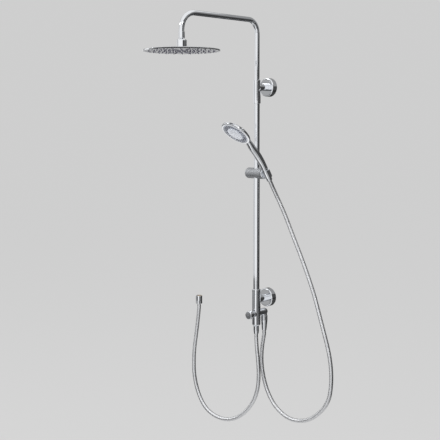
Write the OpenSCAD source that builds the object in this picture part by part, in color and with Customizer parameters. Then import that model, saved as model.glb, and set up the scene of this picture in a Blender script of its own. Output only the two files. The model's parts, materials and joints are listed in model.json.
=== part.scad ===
// Wall-mounted shower set: a telescopic column on two wall brackets with a swivelling arm and a
// rain head, a sliding holder with a hand shower, a diverter at the bottom and two hoses.
// +Z is up and the wall is the plane Y = 0. The room is on the -Y side.
// The origin is the middle of the upper bracket's wall face.

/* [Wall brackets] */
// Distance from the wall to the axis of the column
wall_gap = 70; // [62:1:90]
// Height between the two brackets
bracket_spacing = 755; // [720:1:820]
// Diameter of the cup that covers each wall plate
rosette_d = 66; // [62:1:76]
// Depth of that cup
rosette_h = 22; // [18:1:28]
// Thickness of that cup
rosette_wall = 1.2; // [0.8:0.1:2]
// Radius on the front edge of that cup
rosette_edge = 4; // [3:0.5:6]
// Diameter of the plate screwed to the wall
plate_d = 56; // [52:1:58]
// Thickness of that plate
plate_t = 4; // [3:0.5:6]
// Diameter of the two screw holes in the plate
screw_hole_d = 5.2; // [4:0.2:6]
// Distance between the two screw holes
screw_pitch = 38; // [36:1:42]
// Diameter of the peg that carries the stub
spigot_d = 16; // [12:1:18]
// Length of that peg
spigot_len = 16; // [12:1:20]
// Diameter of the stub between plate and column
stub_d = 26; // [24:1:28]

/* [Column] */
// Outside diameter of the lower tube
lower_pole_d = 22; // [21.6:0.1:24]
// Outside diameter of the upper tube, which slides in the lower one
upper_pole_d = 20; // [19.6:0.1:20.4]
// Outside diameter of the sleeve on the upper bracket
sleeve_d = 26; // [25:0.5:30]
// How far the sleeve stands above its stub's axis
sleeve_up = 24; // [18:1:34]
// How far the sleeve hangs below its stub's axis
sleeve_down = 58; // [40:1:70]
// How far the top of the lower tube is below the upper bracket
lower_pole_drop = 300; // [290:1:310]
// How far the upper tube reaches into the lower one
telescope_overlap = 170; // [150:1:200]
// Head diameter of the screw that clamps the upper tube
clamp_screw_d = 7; // [6:0.5:9]

/* [Shower arm] */
// Outside diameter of the arm
arm_d = 18; // [17:0.1:18.4]
// Wall of the arm
arm_wall = 1; // [0.8:0.1:1.5]
// Distance from the column to the middle of the rain head
arm_reach = 366; // [300:1:420]
// Height of the arm's axis above the upper bracket
arm_rise = 231; // [180:1:260]
// Bend radius of the arm's axis near the column
bend_column = 44; // [36:1:60]
// Bend radius of the arm's axis near the rain head
bend_head = 58; // [45:1:70]
// How far the arm reaches down into the upper tube
arm_insert = 60; // [50:1:80]

/* [Rain head] */
// Diameter of the rain head
head_d = 250; // [244:1:300]
// Height of the rain head's rim
rim_h = 5; // [4:0.5:8]
// Rise of the top of the rain head from rim to collar
head_rise = 7; // [5:0.5:12]
// Sheet thickness of the rain head
head_wall = 1.2; // [0.8:0.1:1.5]
// Diameter of the swivel ball
ball_d = 22; // [21:0.5:22.5]
// Diameter of the collar round the ball
collar_d = 33; // [32:0.5:38]
// Diameter of the nut on the arm
swivel_nut_d = 21; // [20.5:0.5:24]
// Length of that nut
swivel_nut_h = 22; // [18:1:28]
// Base diameter of a rain nozzle
nozzle_d = 4.2; // [3:0.2:4.6]
// How far a nozzle stands out of the plate
nozzle_out = 2.2; // [1:0.1:3]

/* [Sliding holder] */
// Diameter of the slider
slider_d = 38; // [37:1:42]
// Height of the slider below the upper bracket
slider_drop = 304; // [302:1:310]
// Reach of the slider from the column on the button side
slider_left = 45; // [44:1:52]
// Reach of the slider from the column on the holder side
slider_right = 38; // [36:1:40]
// Turn of the slider towards the room
slider_turn = 8; // [6:1:10]
// Outside diameter of the bush that runs on the column
bush_d = 27; // [26.4:0.2:28]
// Height of that bush
bush_h = 22; // [18:1:24]
// Diameter of the release button
button_d = 24; // [20:1:26]
// How far the release button can be pressed
button_travel = 3.5; // [2:0.5:4]
// Distance from the column to the seat of the hand shower
holder_x = 55; // [55:1:58]
// Height of that seat along the handle
seat_h = 28; // [24:1:32]
// Width of the seat at its top
seat_d = 23.4; // [23:0.1:24]
// Taper of the seat on the diameter over its height
seat_taper = 2.2; // [1.6:0.1:2.6]
// Width of the slot through which the hose leaves the seat
slot_w = 15; // [15:0.5:16]

/* [Hand shower] */
// Lean of the hand shower's lower end towards the room
lean = 30; // [28:1:32]
// Angle through which the handle curves
handle_curve = 21; // [18:1:24]
// Radius of that curve
handle_r = 350; // [320:1:380]
// Diameter of the ring round the spray face
hand_head_d = 110; // [102:1:114]
// Depth of the dome behind that face
hand_dome = 13; // [11:1:16]
// Diameter of the handle at its lower end
handle_d = 22.6; // [22:0.1:23.4]
// Diameter of the spray face
hand_face_d = 92; // [88:1:96]
// Diameter of a hand shower nozzle
hand_nozzle_d = 2.6; // [2:0.1:3]

/* [Diverter] */
// Diameter of the diverter body
diverter_d = 30; // [29:0.5:34]
// Top of the diverter above the lower bracket
diverter_up = 36; // [32:1:40]
// Bottom of the diverter below the lower bracket
diverter_down = 96; // [92:1:104]
// Height of the union nut on top of the diverter
union_h = 18; // [14:1:20]
// Height of the knob's axis below the lower bracket
knob_drop = 53; // [50:1:56]
// Diameter of the knob
knob_d = 29; // [26:1:32]
// Thickness of the knob
knob_t = 13; // [10:1:16]
// Diameter of the knob's spindle
spindle_d = 8; // [6:0.5:9]
// Distance from the wall to the axis of the outlet
outlet_gap = 27; // [26:1:29]
// Diameter of the outlet branch
outlet_d = 25; // [24:0.5:26]

/* [Hoses] */
// Diameter of both hoses
hose_d = 14; // [12:0.5:15]
// Length of the tapered nut on the outlet
outlet_nut_h = 53; // [44:1:56]
// Length of the tapered nut on the inlet
inlet_nut_h = 28; // [24:1:30]
// Diameter of the nut at the free end of the supply hose
tap_nut_d = 24; // [23.5:0.5:28]
// Length of that nut
tap_nut_h = 31; // [26:1:34]

/* [Hidden] */
$fn = 64;

// Clearance on the radius between tubes that slide in each other
tube_fit = 0.05;
// Clearance on the radius of screwed and turning pieces
fit = 0.1;
// Gap between curved faces that move past each other
ball_gap = 0.3;
// Overshoot of a cut beyond the face that it opens
cut = 1;

// Thread diameters: the larger is on the outlet, the hand shower and the tap
pipe_thread_d = 20.9;
inlet_thread_d = 16.6;
thread_len = 14;
washer_t = 2;
waterway_d = 11;
insert_d = 10;

lower_z = -bracket_spacing;
slider_z = -slider_drop;
head_y = -(wall_gap + arm_reach);

// Column heights
lower_pole_top = -lower_pole_drop;
diverter_top = lower_z + diverter_up;
diverter_bottom = lower_z - diverter_down;
pole_socket = 8;
lower_pole_bottom = diverter_top - union_h - pole_socket;
upper_pole_top = sleeve_up - 2;
upper_pole_bottom = lower_pole_top - telescope_overlap;
clamp_screw_z = -12;
clamp_shank_d = 5;
clamp_head_h = 5;
seal_h = 8;

// Rain head heights, from the arm downwards
nut_top = arm_rise - bend_head - 7;
nut_bottom = nut_top - swivel_nut_h;
nut_floor = 3;
flange_t = 2.5;
arm_end = nut_bottom + nut_floor + flange_t + washer_t;
stem_d = 10;
ball_z = nut_bottom - 14;
collar_top = ball_z + 11.8;
collar_bottom = ball_z - 14.5;
seat_ring_t = 1.8;
seat_inner_r = ball_d / 2 + ball_gap;
seat_outer_r = seat_inner_r + seat_ring_t;
socket_r = seat_outer_r + ball_gap;
collar_bore_d = 2 * socket_r;
neck_top = ball_z - 11.2;
rim_top = collar_bottom - head_rise;
face_z = rim_top - rim_h;
mat_t = 1.2;
nozzle_rings = [[14, 6], [28, 12], [42, 18], [57, 24], [73, 24], [90, 24], [107, 24]];

// Slider, along its own axis
button_out = 4;
button_h = 11;
button_floor = 26;
button_stem_d = 6;
shoe_d = 14;
spring_wire_r = 0.55;
seat_gap = 0.15;
axle_d = 10;
axle_len = 14;
holder_start = slider_right + 0.5;

// Hand shower, along its own axis from the slider's axis
seat_top = seat_h / 2;
nut_up = 20;
nut_down = 26;
seat_slope = seat_taper / seat_h;
handle_steps = 12;
handle_bore_d = 16;
neck_reach = 54;
face_forward = 10;
neck_thin = handle_d / 2 - 5.8;
neck_back = 4.6;
// Rings past the curve's end: place, half width, half depth and set-back
neck_rings = [[9, 13, 5.6, 6.4], [18, 15.5, 5, 6], [28, 17, 4.2, 4.8], [40, 15, 3.4, 3.8]];
dome_edge = 7;
dome_r = hand_head_d / 2 - 2;
dome_ball = (dome_r * dome_r + hand_dome * hand_dome) / (2 * hand_dome);
rim_lip = 2;
lever_turn = 18;
lever_w = 12;
lever_out = 7;
lever_t = 3.6;
lever_corner = 3;
hand_rings = [[8, 6], [16, 12], [34, 24], [40, 28]];

// Diverter, along the knob's axis from the column
knob_z = lower_z - knob_drop;
boss_out = diverter_d / 2 + 3;
boss_d = 23;
bonnet_out = boss_out + 11;
knob_back = bonnet_out + 1;
knob_bore = 8;
cartridge_d = 17.8;
cartridge_in = 8;
port_d = 5;
bonnet_d = 20;
outlet_z = knob_z + 3;
outlet_nut_d = pipe_thread_d + 3.1;
inlet_nut_d = inlet_thread_d + 3.4;
nut_end_d = hose_d + 3;
outlet_nut_top = outlet_z - outlet_d / 2 - 2.5;
outlet_nipple_end = outlet_nut_top - thread_len + washer_t;
outlet_nut_bottom = outlet_nut_top - outlet_nut_h;
inlet_nut_bottom = diverter_bottom - 1 - inlet_nut_h;
tap_x = -280;
tap_y = -81;
tap_nut_bottom = -806;
tap_washer_d = pipe_thread_d - 1.4;
tap_washer_z = tap_nut_h - thread_len - washer_t - 0.3;

// Routes of the hoses, from fitting to fitting. The first and last stretches run straight.
hose_sides = 10;
hose_step = 31;
hand_exit = holder_point(-nut_down);
hand_route = [
    hand_exit, holder_point(-nut_down - hose_d), [58, -50, -353], [61, -43, -368],
    [65, -36, -385], [71, -30, -403], [79, -25, -424], [89, -20, -449], [102, -15, -482],
    [125, -11, -534], [149, -9, -583], [173, -9, -631], [194, -10, -674], [213, -11, -716],
    [231, -13, -760], [248, -15, -804], [265, -18, -846], [281, -20, -888], [293, -21, -930],
    [300, -22, -975], [300, -22, -1020], [293, -22, -1064], [276, -23, -1099], [250, -24, -1129],
    [216, -25, -1155], [174, -25, -1172], [130, -26, -1176], [88, -26, -1165], [50, -27, -1139],
    [22, -27, -1103], [3, -27, -1062], [-8, -27, -1020], [-12, -27, -978], [-9, -27, -936],
    [-2, -27, -898], [0, -27, outlet_nut_bottom - hose_d], [0, -27, outlet_nut_bottom]
];
supply_route = [
    [0, -70, inlet_nut_bottom], [0, -70, inlet_nut_bottom - hose_d], [3, -70, -930],
    [7, -69, -970], [9, -67, -1010], [7, -65, -1050], [0, -64, -1088], [-14, -65, -1125],
    [-36, -69, -1160], [-68, -75, -1192], [-108, -81, -1214], [-152, -85, -1222],
    [-196, -88, -1216], [-234, -90, -1197], [-264, -90, -1165], [-285, -90, -1123],
    [-297, -90, -1076], [-301, -88, -1028], [-300, -86, -980], [-295, -83, -932],
    [-289, -81, -885], [-283, -81, -845], [tap_x, tap_y, tap_nut_bottom - hose_d],
    [tap_x, tap_y, tap_nut_bottom]
];

// Places a piece on the hand shower's axis, for points and for solids
function holder_point(z) = [
    holder_x * cos(slider_turn) - z * sin(lean) * sin(slider_turn),
    -wall_gap - holder_x * sin(slider_turn) - z * sin(lean) * cos(slider_turn),
    slider_z + z * cos(lean)
];
function unit(v) = v / norm(v);
function spline_point(a, b, c, d, t) =
    0.5 * (2 * b + t * (c - a) + t * t * (2 * a - 5 * b + 4 * c - d)
    + t * t * t * (3 * b - a - 3 * c + d));
function stretches(route, i) = max(1, round(norm(route[i + 1] - route[i]) / hose_step));
// The first and last stretches stay straight and the rest is a smooth curve through the points
function hose_line(route) = let (n = len(route)) concat(
    [route[0]],
    [for (i = [1:n - 3]) for (k = [0:stretches(route, i) - 1])
        spline_point(route[i - 1], route[i], route[i + 1], route[i + 2],
            k / stretches(route, i))],
    [route[n - 2], route[n - 1]]
);
function line_way(line, i) = i < 2 ? unit(line[1] - line[0])
    : i > len(line) - 3 ? unit(line[len(line) - 1] - line[len(line) - 2])
    : unit(line[i + 1] - line[i - 1]);
function hose_ring(line, i, r) =
    let (way = line_way(line, i), side = unit(cross([0, 1, 0], way)), up = cross(way, side))
    [for (k = [0:hose_sides - 1]) let (a = 360 * k / hose_sides)
        line[i] + r * cos(a) * side + r * sin(a) * up];
// Seat and nut have one cone: its radius at a height on the hand shower's axis
function seat_r(z) = (seat_d - seat_slope * (seat_top - z)) / 2;
function handle_point(a) = [0, -handle_r * (1 - cos(a)), nut_up + handle_r * sin(a)];
function handle_wide(s) = handle_d / 2 + 1.2 * sin(180 * s) - 0.3 * s;
function handle_deep(s) = handle_d / 2 + 1.2 * sin(180 * s) - neck_thin * s * s * s;
function handle_back(s) = s < 0.6 ? 0 : neck_back * (1 - cos(450 * (s - 0.6))) / 2;

// A closed solid through rings of points, the first ring's points turning left round its way
module ring_solid(rings) {
    n = len(rings[0]);
    last = (len(rings) - 1) * n;
    polyhedron(
        points = [for (r = rings) for (p = r) p],
        faces = concat(
            [[for (k = [0:n - 1]) k]],
            [for (i = [0:len(rings) - 2]) for (k = [0:n - 1]) let (m = (k + 1) % n)
                each [[i * n + m, i * n + k, i * n + n + k], [i * n + m, i * n + n + k, i * n + n + m]]],
            [[for (k = [n - 1:-1:0]) last + k]]
        ),
        convexity = 6
    );
}

module hose(route) {
    line = hose_line(route);
    ring_solid([for (i = [0:len(line) - 1]) hose_ring(line, i, hose_d / 2)]);
}

// A disc with a round front edge, standing on its back
module soft_disc(d, h, e) {
    rotate_extrude() {
        square([d / 2 - e, h]);
        square([d / 2, h - e]);
        translate([d / 2 - e, h - e]) circle(e);
    }
}

// A tube whose outer edges are bevelled
module bevelled_tube(d, bore, h, e) {
    rotate_extrude()
        polygon([[bore / 2, 0], [d / 2 - e, 0], [d / 2, e], [d / 2, h - e], [d / 2 - e, h], [bore / 2, h]]);
}

// Local Z is the distance from the wall
module from_wall(z) translate([0, 0, z]) rotate([90, 0, 0]) children();
// Local Z is the distance in front of the column's axis
module from_column(z) translate([0, -wall_gap, z]) rotate([90, 0, 0]) children();
module at_head(z) translate([0, head_y, z]) children();
module at_slider() translate([0, -wall_gap, slider_z]) rotate([0, 0, -slider_turn]) children();
// Local Z is the distance along the slider towards the holder
module along_slider(x) at_slider() translate([x, 0, 0]) rotate([0, 90, 0]) children();
module at_holder() at_slider() translate([holder_x, 0, 0]) rotate([lean, 0, 0]) children();
// Local Z is the way in which the hand shower sprays, and local Y leads away from its handle
module at_face()
    at_holder() translate(handle_point(handle_curve)) rotate([handle_curve, 0, 0])
        translate([0, -face_forward, neck_reach]) rotate([90, 0, 0]) children();

module wall_plate() {
    difference() {
        union() {
            cylinder(d = plate_d, h = plate_t);
            cylinder(d = spigot_d, h = plate_t + spigot_len);
        }
        for (s = [-1, 1]) translate([s * screw_pitch / 2, 0, -cut]) {
            cylinder(d = screw_hole_d, h = plate_t + 2 * cut);
            translate([0, 0, cut + plate_t - screw_hole_d / 2])
                cylinder(d1 = screw_hole_d, d2 = 2 * screw_hole_d + 1, h = screw_hole_d / 2 + 0.5);
        }
    }
}

module rosette() {
    difference() {
        soft_disc(rosette_d, rosette_h, rosette_edge);
        translate([0, 0, -cut])
            soft_disc(rosette_d - 2 * rosette_wall, rosette_h - rosette_wall + cut,
                rosette_edge - rosette_wall);
        cylinder(d = stub_d + 2 * fit, h = rosette_h + cut);
    }
}

// The round stub from the wall plate to the column, with the socket for the plate's peg
module stub_solid() {
    translate([0, 0, plate_t]) cylinder(d = stub_d, h = wall_gap - plate_t);
}
module stub_socket() {
    translate([0, 0, plate_t - cut]) cylinder(d = spigot_d + 2 * fit, h = spigot_len + cut + 0.5);
    translate([0, 0, plate_t + spigot_len / 2]) rotate([90, 0, 0])
        cylinder(d = clamp_shank_d, h = stub_d);
}

module upper_wall_plate() { color("#b9bdc2") from_wall(0) wall_plate(); }
module lower_wall_plate() { color("#b9bdc2") from_wall(lower_z) wall_plate(); }
module upper_rosette() { color("#dfe3e6") from_wall(0) rosette(); }
module lower_rosette() { color("#dfe3e6") from_wall(lower_z) rosette(); }

module upper_holder() {
    color("#d9dde0")
    difference() {
        union() {
            from_wall(0) stub_solid();
            translate([0, -wall_gap, -sleeve_down])
                bevelled_tube(sleeve_d, upper_pole_d, sleeve_up + sleeve_down, 0.8);
        }
        from_wall(0) stub_socket();
        translate([0, -wall_gap, -sleeve_down - cut])
            cylinder(d = upper_pole_d + 2 * tube_fit, h = sleeve_up + sleeve_down + 2 * cut);
        translate([0, -wall_gap, clamp_screw_z]) rotate([0, 90, 0])
            cylinder(d = clamp_shank_d + 2 * fit, h = sleeve_d);
    }
}

module clamp_screw() {
    seat = upper_pole_d / 2 + tube_fit;
    color("#e6e8ea")
    translate([0, -wall_gap, clamp_screw_z]) rotate([0, 90, 0]) difference() {
        union() {
            translate([0, 0, seat]) cylinder(d = clamp_shank_d, h = sleeve_d / 2 - seat + 1);
            translate([0, 0, sleeve_d / 2 + 0.4]) cylinder(d = clamp_screw_d, h = clamp_head_h);
        }
        translate([0, 0, sleeve_d / 2 + clamp_head_h - 1.6]) cylinder(d = 3.4, h = 4, $fn = 6);
    }
}

// Screw under a stub, pressing on the plate's peg
module stub_screw() {
    translate([0, 0, plate_t + spigot_len / 2]) rotate([90, 0, 0])
        translate([0, 0, spigot_d / 2]) difference() {
            cylinder(d = clamp_shank_d - 2 * fit, h = (stub_d - spigot_d) / 2 - 0.5);
            translate([0, 0, 2]) cylinder(d = 2.9, h = stub_d, $fn = 6);
        }
}

module upper_stub_screw() { color("#8d9196") from_wall(0) stub_screw(); }
module lower_stub_screw() { color("#8d9196") from_wall(lower_z) stub_screw(); }

module lower_pole() {
    color("#e3e6e9")
    translate([0, -wall_gap, lower_pole_bottom])
        bevelled_tube(lower_pole_d, upper_pole_d + 2 * tube_fit, lower_pole_top - lower_pole_bottom, 0.4);
}

module upper_pole() {
    color("#e3e6e9")
    translate([0, -wall_gap, upper_pole_bottom])
        bevelled_tube(upper_pole_d, arm_d + 2 * tube_fit, upper_pole_top - upper_pole_bottom, 0.3);
}

// Rubber ring on the end of the upper tube
module pole_seal() {
    color("#2c2c2e")
    translate([0, -wall_gap, upper_pole_bottom - seal_h]) difference() {
        cylinder(d = upper_pole_d, h = seal_h);
        translate([0, 0, -cut]) cylinder(d = arm_d - 2 * arm_wall, h = seal_h + 2 * cut);
    }
}

// Rubber ring in the upper tube, under the end of the arm
module arm_seal() {
    color("#2c2c2e")
    translate([0, -wall_gap, -arm_insert - seal_h]) difference() {
        cylinder(d = arm_d, h = seal_h);
        translate([0, 0, -cut]) cylinder(d = arm_d - 2 * arm_wall, h = seal_h + 2 * cut);
    }
}

module union_nut() {
    color("#d9dde0")
    translate([0, -wall_gap, diverter_top - union_h])
        bevelled_tube(diverter_d, lower_pole_d + 2 * fit, union_h, 1);
}

// Body with the stub to the wall, the boss of the knob and the outlet branch behind it
module diverter_body() {
    top = diverter_top - union_h;
    elbow_out = wall_gap - outlet_gap;
    color("#d9dde0")
    difference() {
        union() {
            translate([0, -wall_gap, diverter_bottom]) rotate_extrude()
                polygon([[0, 0], [diverter_d / 2 - 5, 0], [diverter_d / 2, 5],
                    [diverter_d / 2, top - diverter_bottom], [0, top - diverter_bottom]]);
            from_wall(lower_z) stub_solid();
            from_column(knob_z) cylinder(d = boss_d, h = boss_out);
            translate([0, -wall_gap, outlet_z]) rotate([-90, 0, 0])
                cylinder(d = outlet_d, h = elbow_out);
            translate([0, -outlet_gap, outlet_z]) sphere(d = outlet_d);
            translate([0, -outlet_gap, outlet_nipple_end])
                cylinder(d = pipe_thread_d, h = outlet_z - outlet_nipple_end);
            translate([0, -wall_gap, diverter_bottom - thread_len + 2])
                cylinder(d = inlet_thread_d, h = thread_len);
        }
        from_wall(lower_z) stub_socket();
        translate([0, -wall_gap, top - pole_socket])
            cylinder(d = lower_pole_d + 2 * fit, h = pole_socket + cut);
        translate([0, -wall_gap, diverter_bottom - thread_len])
            cylinder(d = waterway_d, h = top - diverter_bottom + thread_len);
        from_column(knob_z) translate([0, 0, -cartridge_in - 0.2])
            cylinder(d = cartridge_d + 2 * fit, h = boss_out + cartridge_in + cut);
        translate([0, -wall_gap, outlet_z]) rotate([-90, 0, 0])
            cylinder(d = waterway_d, h = elbow_out);
        translate([0, -outlet_gap, outlet_nipple_end - cut])
            cylinder(d = waterway_d, h = outlet_z - outlet_nipple_end + cut);
    }
}

module diverter_cartridge() {
    len = boss_out + cartridge_in;
    color("#e8e4d8")
    from_column(knob_z) translate([0, 0, -cartridge_in]) difference() {
        cylinder(d = cartridge_d, h = len - 0.2);
        translate([0, 0, cartridge_in]) cylinder(d = spindle_d + 2 * fit, h = len);
        translate([0, 0, cartridge_in / 2]) rotate([90, 0, 0])
            cylinder(d = port_d, h = 2 * cartridge_d, center = true);
    }
}

// Fixed ring that holds the cartridge in its boss
module diverter_bonnet() {
    color("#9a9ea3")
    from_column(knob_z) translate([0, 0, boss_out])
        bevelled_tube(bonnet_d, spindle_d + 2 * fit, bonnet_out - boss_out, 0.8);
}

module diverter_spindle() {
    color("#c9b06a")
    from_column(knob_z) translate([0, 0, 1]) cylinder(d = spindle_d, h = knob_back + knob_bore - 1);
}

module diverter_knob() {
    color("#d9dde0")
    from_column(knob_z) difference() {
        translate([0, 0, knob_back]) soft_disc(knob_d, knob_t, 2);
        translate([0, 0, knob_back - cut]) cylinder(d = spindle_d + 0.04, h = knob_bore + cut);
        translate([0, 0, knob_back + 4]) cylinder(d = 3, h = knob_t);
        translate([0, 0, knob_back + knob_t - 3]) cylinder(d = 6.2, h = 4);
        // Groove that shows which way the knob points
        translate([-0.7, knob_d / 2 - 5, knob_back + knob_t - 1.2]) cube([1.4, 6, 2]);
    }
}

module knob_screw() {
    color("#9a9ea3")
    from_column(knob_z) difference() {
        union() {
            translate([0, 0, knob_back + knob_bore]) cylinder(d = 2.8, h = knob_t - knob_bore - 2);
            translate([0, 0, knob_back + knob_t - 3]) cylinder(d = 6, h = 2.4);
        }
        translate([0, 0, knob_back + knob_t - 2]) cylinder(d = 3, h = 3, $fn = 6);
    }
}

// Solid rod along the arm's axis, in a plane where X leads to the head and Y leads up
module arm_rod(d, extra) {
    straight = arm_reach - bend_column - bend_head;
    translate([0, -arm_insert - extra, 0]) rotate([-90, 0, 0])
        cylinder(d = d, h = arm_rise - bend_column + arm_insert + extra);
    translate([bend_column, arm_rise - bend_column, 0]) rotate([0, 0, 90])
        rotate_extrude(angle = 90) translate([bend_column, 0]) circle(d = d);
    translate([bend_column, arm_rise, 0]) rotate([0, 90, 0]) cylinder(d = d, h = straight);
    translate([arm_reach - bend_head, arm_rise - bend_head, 0])
        rotate_extrude(angle = 90) translate([bend_head, 0]) circle(d = d);
    translate([arm_reach, arm_end - extra, 0]) rotate([-90, 0, 0])
        cylinder(d = d, h = arm_rise - bend_head - arm_end + extra);
}

module shower_arm() {
    color("#e6e9eb")
    translate([0, -wall_gap, 0]) rotate([90, 0, -90]) difference() {
        arm_rod(arm_d, 0);
        arm_rod(arm_d - 2 * arm_wall, cut);
    }
}

module swivel_nut() {
    groove = 0.5;
    color("#d9dde0")
    at_head(nut_bottom) difference() {
        rotate_extrude() polygon([
            [stem_d / 2 + fit, 0], [swivel_nut_d / 2 - 1.6, 0], [swivel_nut_d / 2, 1.6],
            [swivel_nut_d / 2, 4], [swivel_nut_d / 2 - groove, 4], [swivel_nut_d / 2 - groove, 4.8],
            [swivel_nut_d / 2, 4.8], [swivel_nut_d / 2, swivel_nut_h - 4.8],
            [swivel_nut_d / 2 - groove, swivel_nut_h - 4.8], [swivel_nut_d / 2 - groove, swivel_nut_h - 4],
            [swivel_nut_d / 2, swivel_nut_h - 4], [swivel_nut_d / 2, swivel_nut_h - 0.6],
            [swivel_nut_d / 2 - 0.6, swivel_nut_h], [stem_d / 2 + fit, swivel_nut_h]
        ]);
        translate([0, 0, nut_floor]) cylinder(d = arm_d + 2 * fit, h = swivel_nut_h);
    }
}

module arm_washer() {
    color("#2c2c2e")
    at_head(arm_end - washer_t) difference() {
        cylinder(d = arm_d - 0.4, h = washer_t);
        translate([0, 0, -cut]) cylinder(d = 9, h = washer_t + 2 * cut);
    }
}

module ball_stem() {
    color("#e6e9eb")
    at_head(0) difference() {
        union() {
            translate([0, 0, ball_z]) sphere(d = ball_d);
            translate([0, 0, ball_z]) cylinder(d = stem_d, h = nut_bottom + nut_floor - ball_z + 1);
            translate([0, 0, nut_bottom + nut_floor]) cylinder(d = arm_d - 0.4, h = flange_t);
        }
        translate([0, 0, ball_z - ball_d]) cylinder(d = 6, h = 3 * ball_d);
    }
}

// Plastic ring between ball and collar, round on both sides
module ball_seat_ring() {
    color("#e8e4d8")
    at_head(ball_z) rotate_extrude() intersection() {
        difference() {
            circle(seat_outer_r);
            circle(seat_inner_r);
        }
        translate([0.01, -7]) square([seat_outer_r + 1, 13]);
    }
}

module head_collar() {
    low = collar_bottom - ball_z;
    high = collar_top - ball_z;
    color("#d9dde0")
    at_head(ball_z) rotate_extrude() difference() {
        polygon([[0.01, low], [collar_d / 2 - 0.5, low], [collar_d / 2, low + 0.5],
            [collar_d / 2, high - 4], [collar_d / 2 - 1.2, high - 1.8], [collar_d / 2 - 3.4, high - 0.5],
            [10, high], [0.01, high]]);
        circle(socket_r);
        translate([0, low - cut]) square([socket_r, -low + cut]);
        square([9.4, high + cut]);
    }
}

module ball_seal() {
    color("#2c2c2e")
    at_head(neck_top) difference() {
        cylinder(r = socket_r - fit, h = 1.8);
        translate([0, 0, -cut]) cylinder(r = 9.6, h = 4);
    }
}

// Pressed steel bowl with the neck that screws into the collar
module head_back_shell() {
    r = head_d / 2;
    w = head_wall;
    shoulder_r = collar_d / 2 + 1.5;
    color("#dfe3e6")
    at_head(0) rotate_extrude() difference() {
        union() {
            translate([r - 1.5, rim_top - 1.5]) circle(1.5);
            polygon([[9, face_z], [r, face_z], [r, rim_top - 1.5], [r - 1.5, rim_top],
                [r - 6, rim_top + 0.8], [r * 0.6, rim_top + head_rise * 0.62],
                [shoulder_r + 12, collar_bottom - 0.6], [shoulder_r, collar_bottom],
                [socket_r - fit, collar_bottom], [socket_r - fit, neck_top], [9, neck_top]]);
        }
        polygon([[-1, face_z - cut], [r - w, face_z - cut], [r - w, rim_top - w - 0.6],
            [r - 6, rim_top + 0.8 - w], [r * 0.6, rim_top + head_rise * 0.62 - w],
            [shoulder_r + 12, collar_bottom - 0.6 - w], [shoulder_r, collar_bottom - w],
            [9, collar_bottom - w], [-1, collar_bottom - w]]);
    }
}

module ring_pattern(rings) {
    for (ring = rings) for (k = [0:ring[1] - 1])
        rotate([0, 0, 360 * k / ring[1]]) translate([ring[0], 0, 0]) children();
}

module head_face_plate() {
    color("#d5d7dc")
    at_head(face_z) difference() {
        cylinder(d = head_d - 2 * head_wall - 0.4, h = head_wall);
        ring_pattern(nozzle_rings) translate([0, 0, -cut])
            cylinder(d = nozzle_d + 0.4, h = head_wall + 2 * cut, $fn = 20);
    }
}

module head_nozzle_mat() {
    color("#8f8ca0")
    at_head(face_z) {
        translate([0, 0, head_wall]) cylinder(d = head_d - 12, h = mat_t);
        ring_pattern(nozzle_rings) translate([0, 0, -nozzle_out])
            cylinder(d1 = nozzle_d * 0.68, d2 = nozzle_d, h = nozzle_out + head_wall + mat_t / 2, $fn = 20);
    }
}

module slider_bush() {
    color("#e8e4d8")
    at_slider() translate([0, 0, -bush_h / 2]) difference() {
        cylinder(d = bush_d, h = bush_h);
        translate([0, 0, -cut]) cylinder(d = lower_pole_d + 2 * fit, h = bush_h + 2 * cut);
    }
}

module slider_body() {
    color("#c9cdd1")
    difference() {
        along_slider(slider_right) rotate([180, 0, 0]) soft_disc(slider_d, slider_left + slider_right, 4);
        at_slider() {
            translate([0, 0, -slider_d]) cylinder(d = lower_pole_d + 1, h = 2 * slider_d);
            translate([0, 0, -bush_h / 2 - ball_gap])
                cylinder(d = bush_d + 2 * fit, h = bush_h + 2 * ball_gap);
        }
        along_slider(-slider_left - cut)
            cylinder(d = button_d + 2 * fit, h = slider_left + cut - button_floor);
        along_slider(-button_floor - cut)
            cylinder(d = shoe_d + 4 * fit, h = button_floor - bush_d / 2 + 4 * cut);
        along_slider(slider_right - axle_len - 0.5) cylinder(d = axle_d + 2 * fit, h = axle_len + 2);
    }
}

// Pad that presses on the bush while the button is out
module brake_shoe() {
    color("#3a3a3d")
    intersection() {
        along_slider(-button_floor) cylinder(d = shoe_d, h = button_floor - bush_d / 2 + 3);
        at_slider() difference() {
            translate([0, 0, -slider_d / 2]) cylinder(d = 3 * button_floor, h = slider_d);
            translate([0, 0, -slider_d]) cylinder(d = bush_d + 2 * fit, h = 2 * slider_d);
        }
    }
}

module release_button() {
    color("#d9dde0")
    along_slider(-slider_left - button_out) {
        translate([0, 0, button_h]) rotate([180, 0, 0]) soft_disc(button_d, button_h, 3);
        cylinder(d = button_stem_d,
            h = slider_left + button_out - button_floor - button_travel - 0.5);
    }
}

// Compression spring between the button and the floor of its bore
module button_spring() {
    coil_r = (button_stem_d + shoe_d + 4) / 4;
    turns = 5;
    steps = 14;
    high = slider_left + button_out - button_h - button_floor - 2 * spring_wire_r;
    count = turns * steps;
    color("#c8c8c8")
    along_slider(-slider_left - button_out + button_h + spring_wire_r)
        ring_solid([for (i = [0:count]) let (a = 360 * i / steps, rise = high * i / count)
            [for (k = [0:5]) let (b = 60 * k, out = coil_r + spring_wire_r * cos(b))
                [out * cos(a), out * sin(a), rise - spring_wire_r * sin(b)]]]);
}

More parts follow.
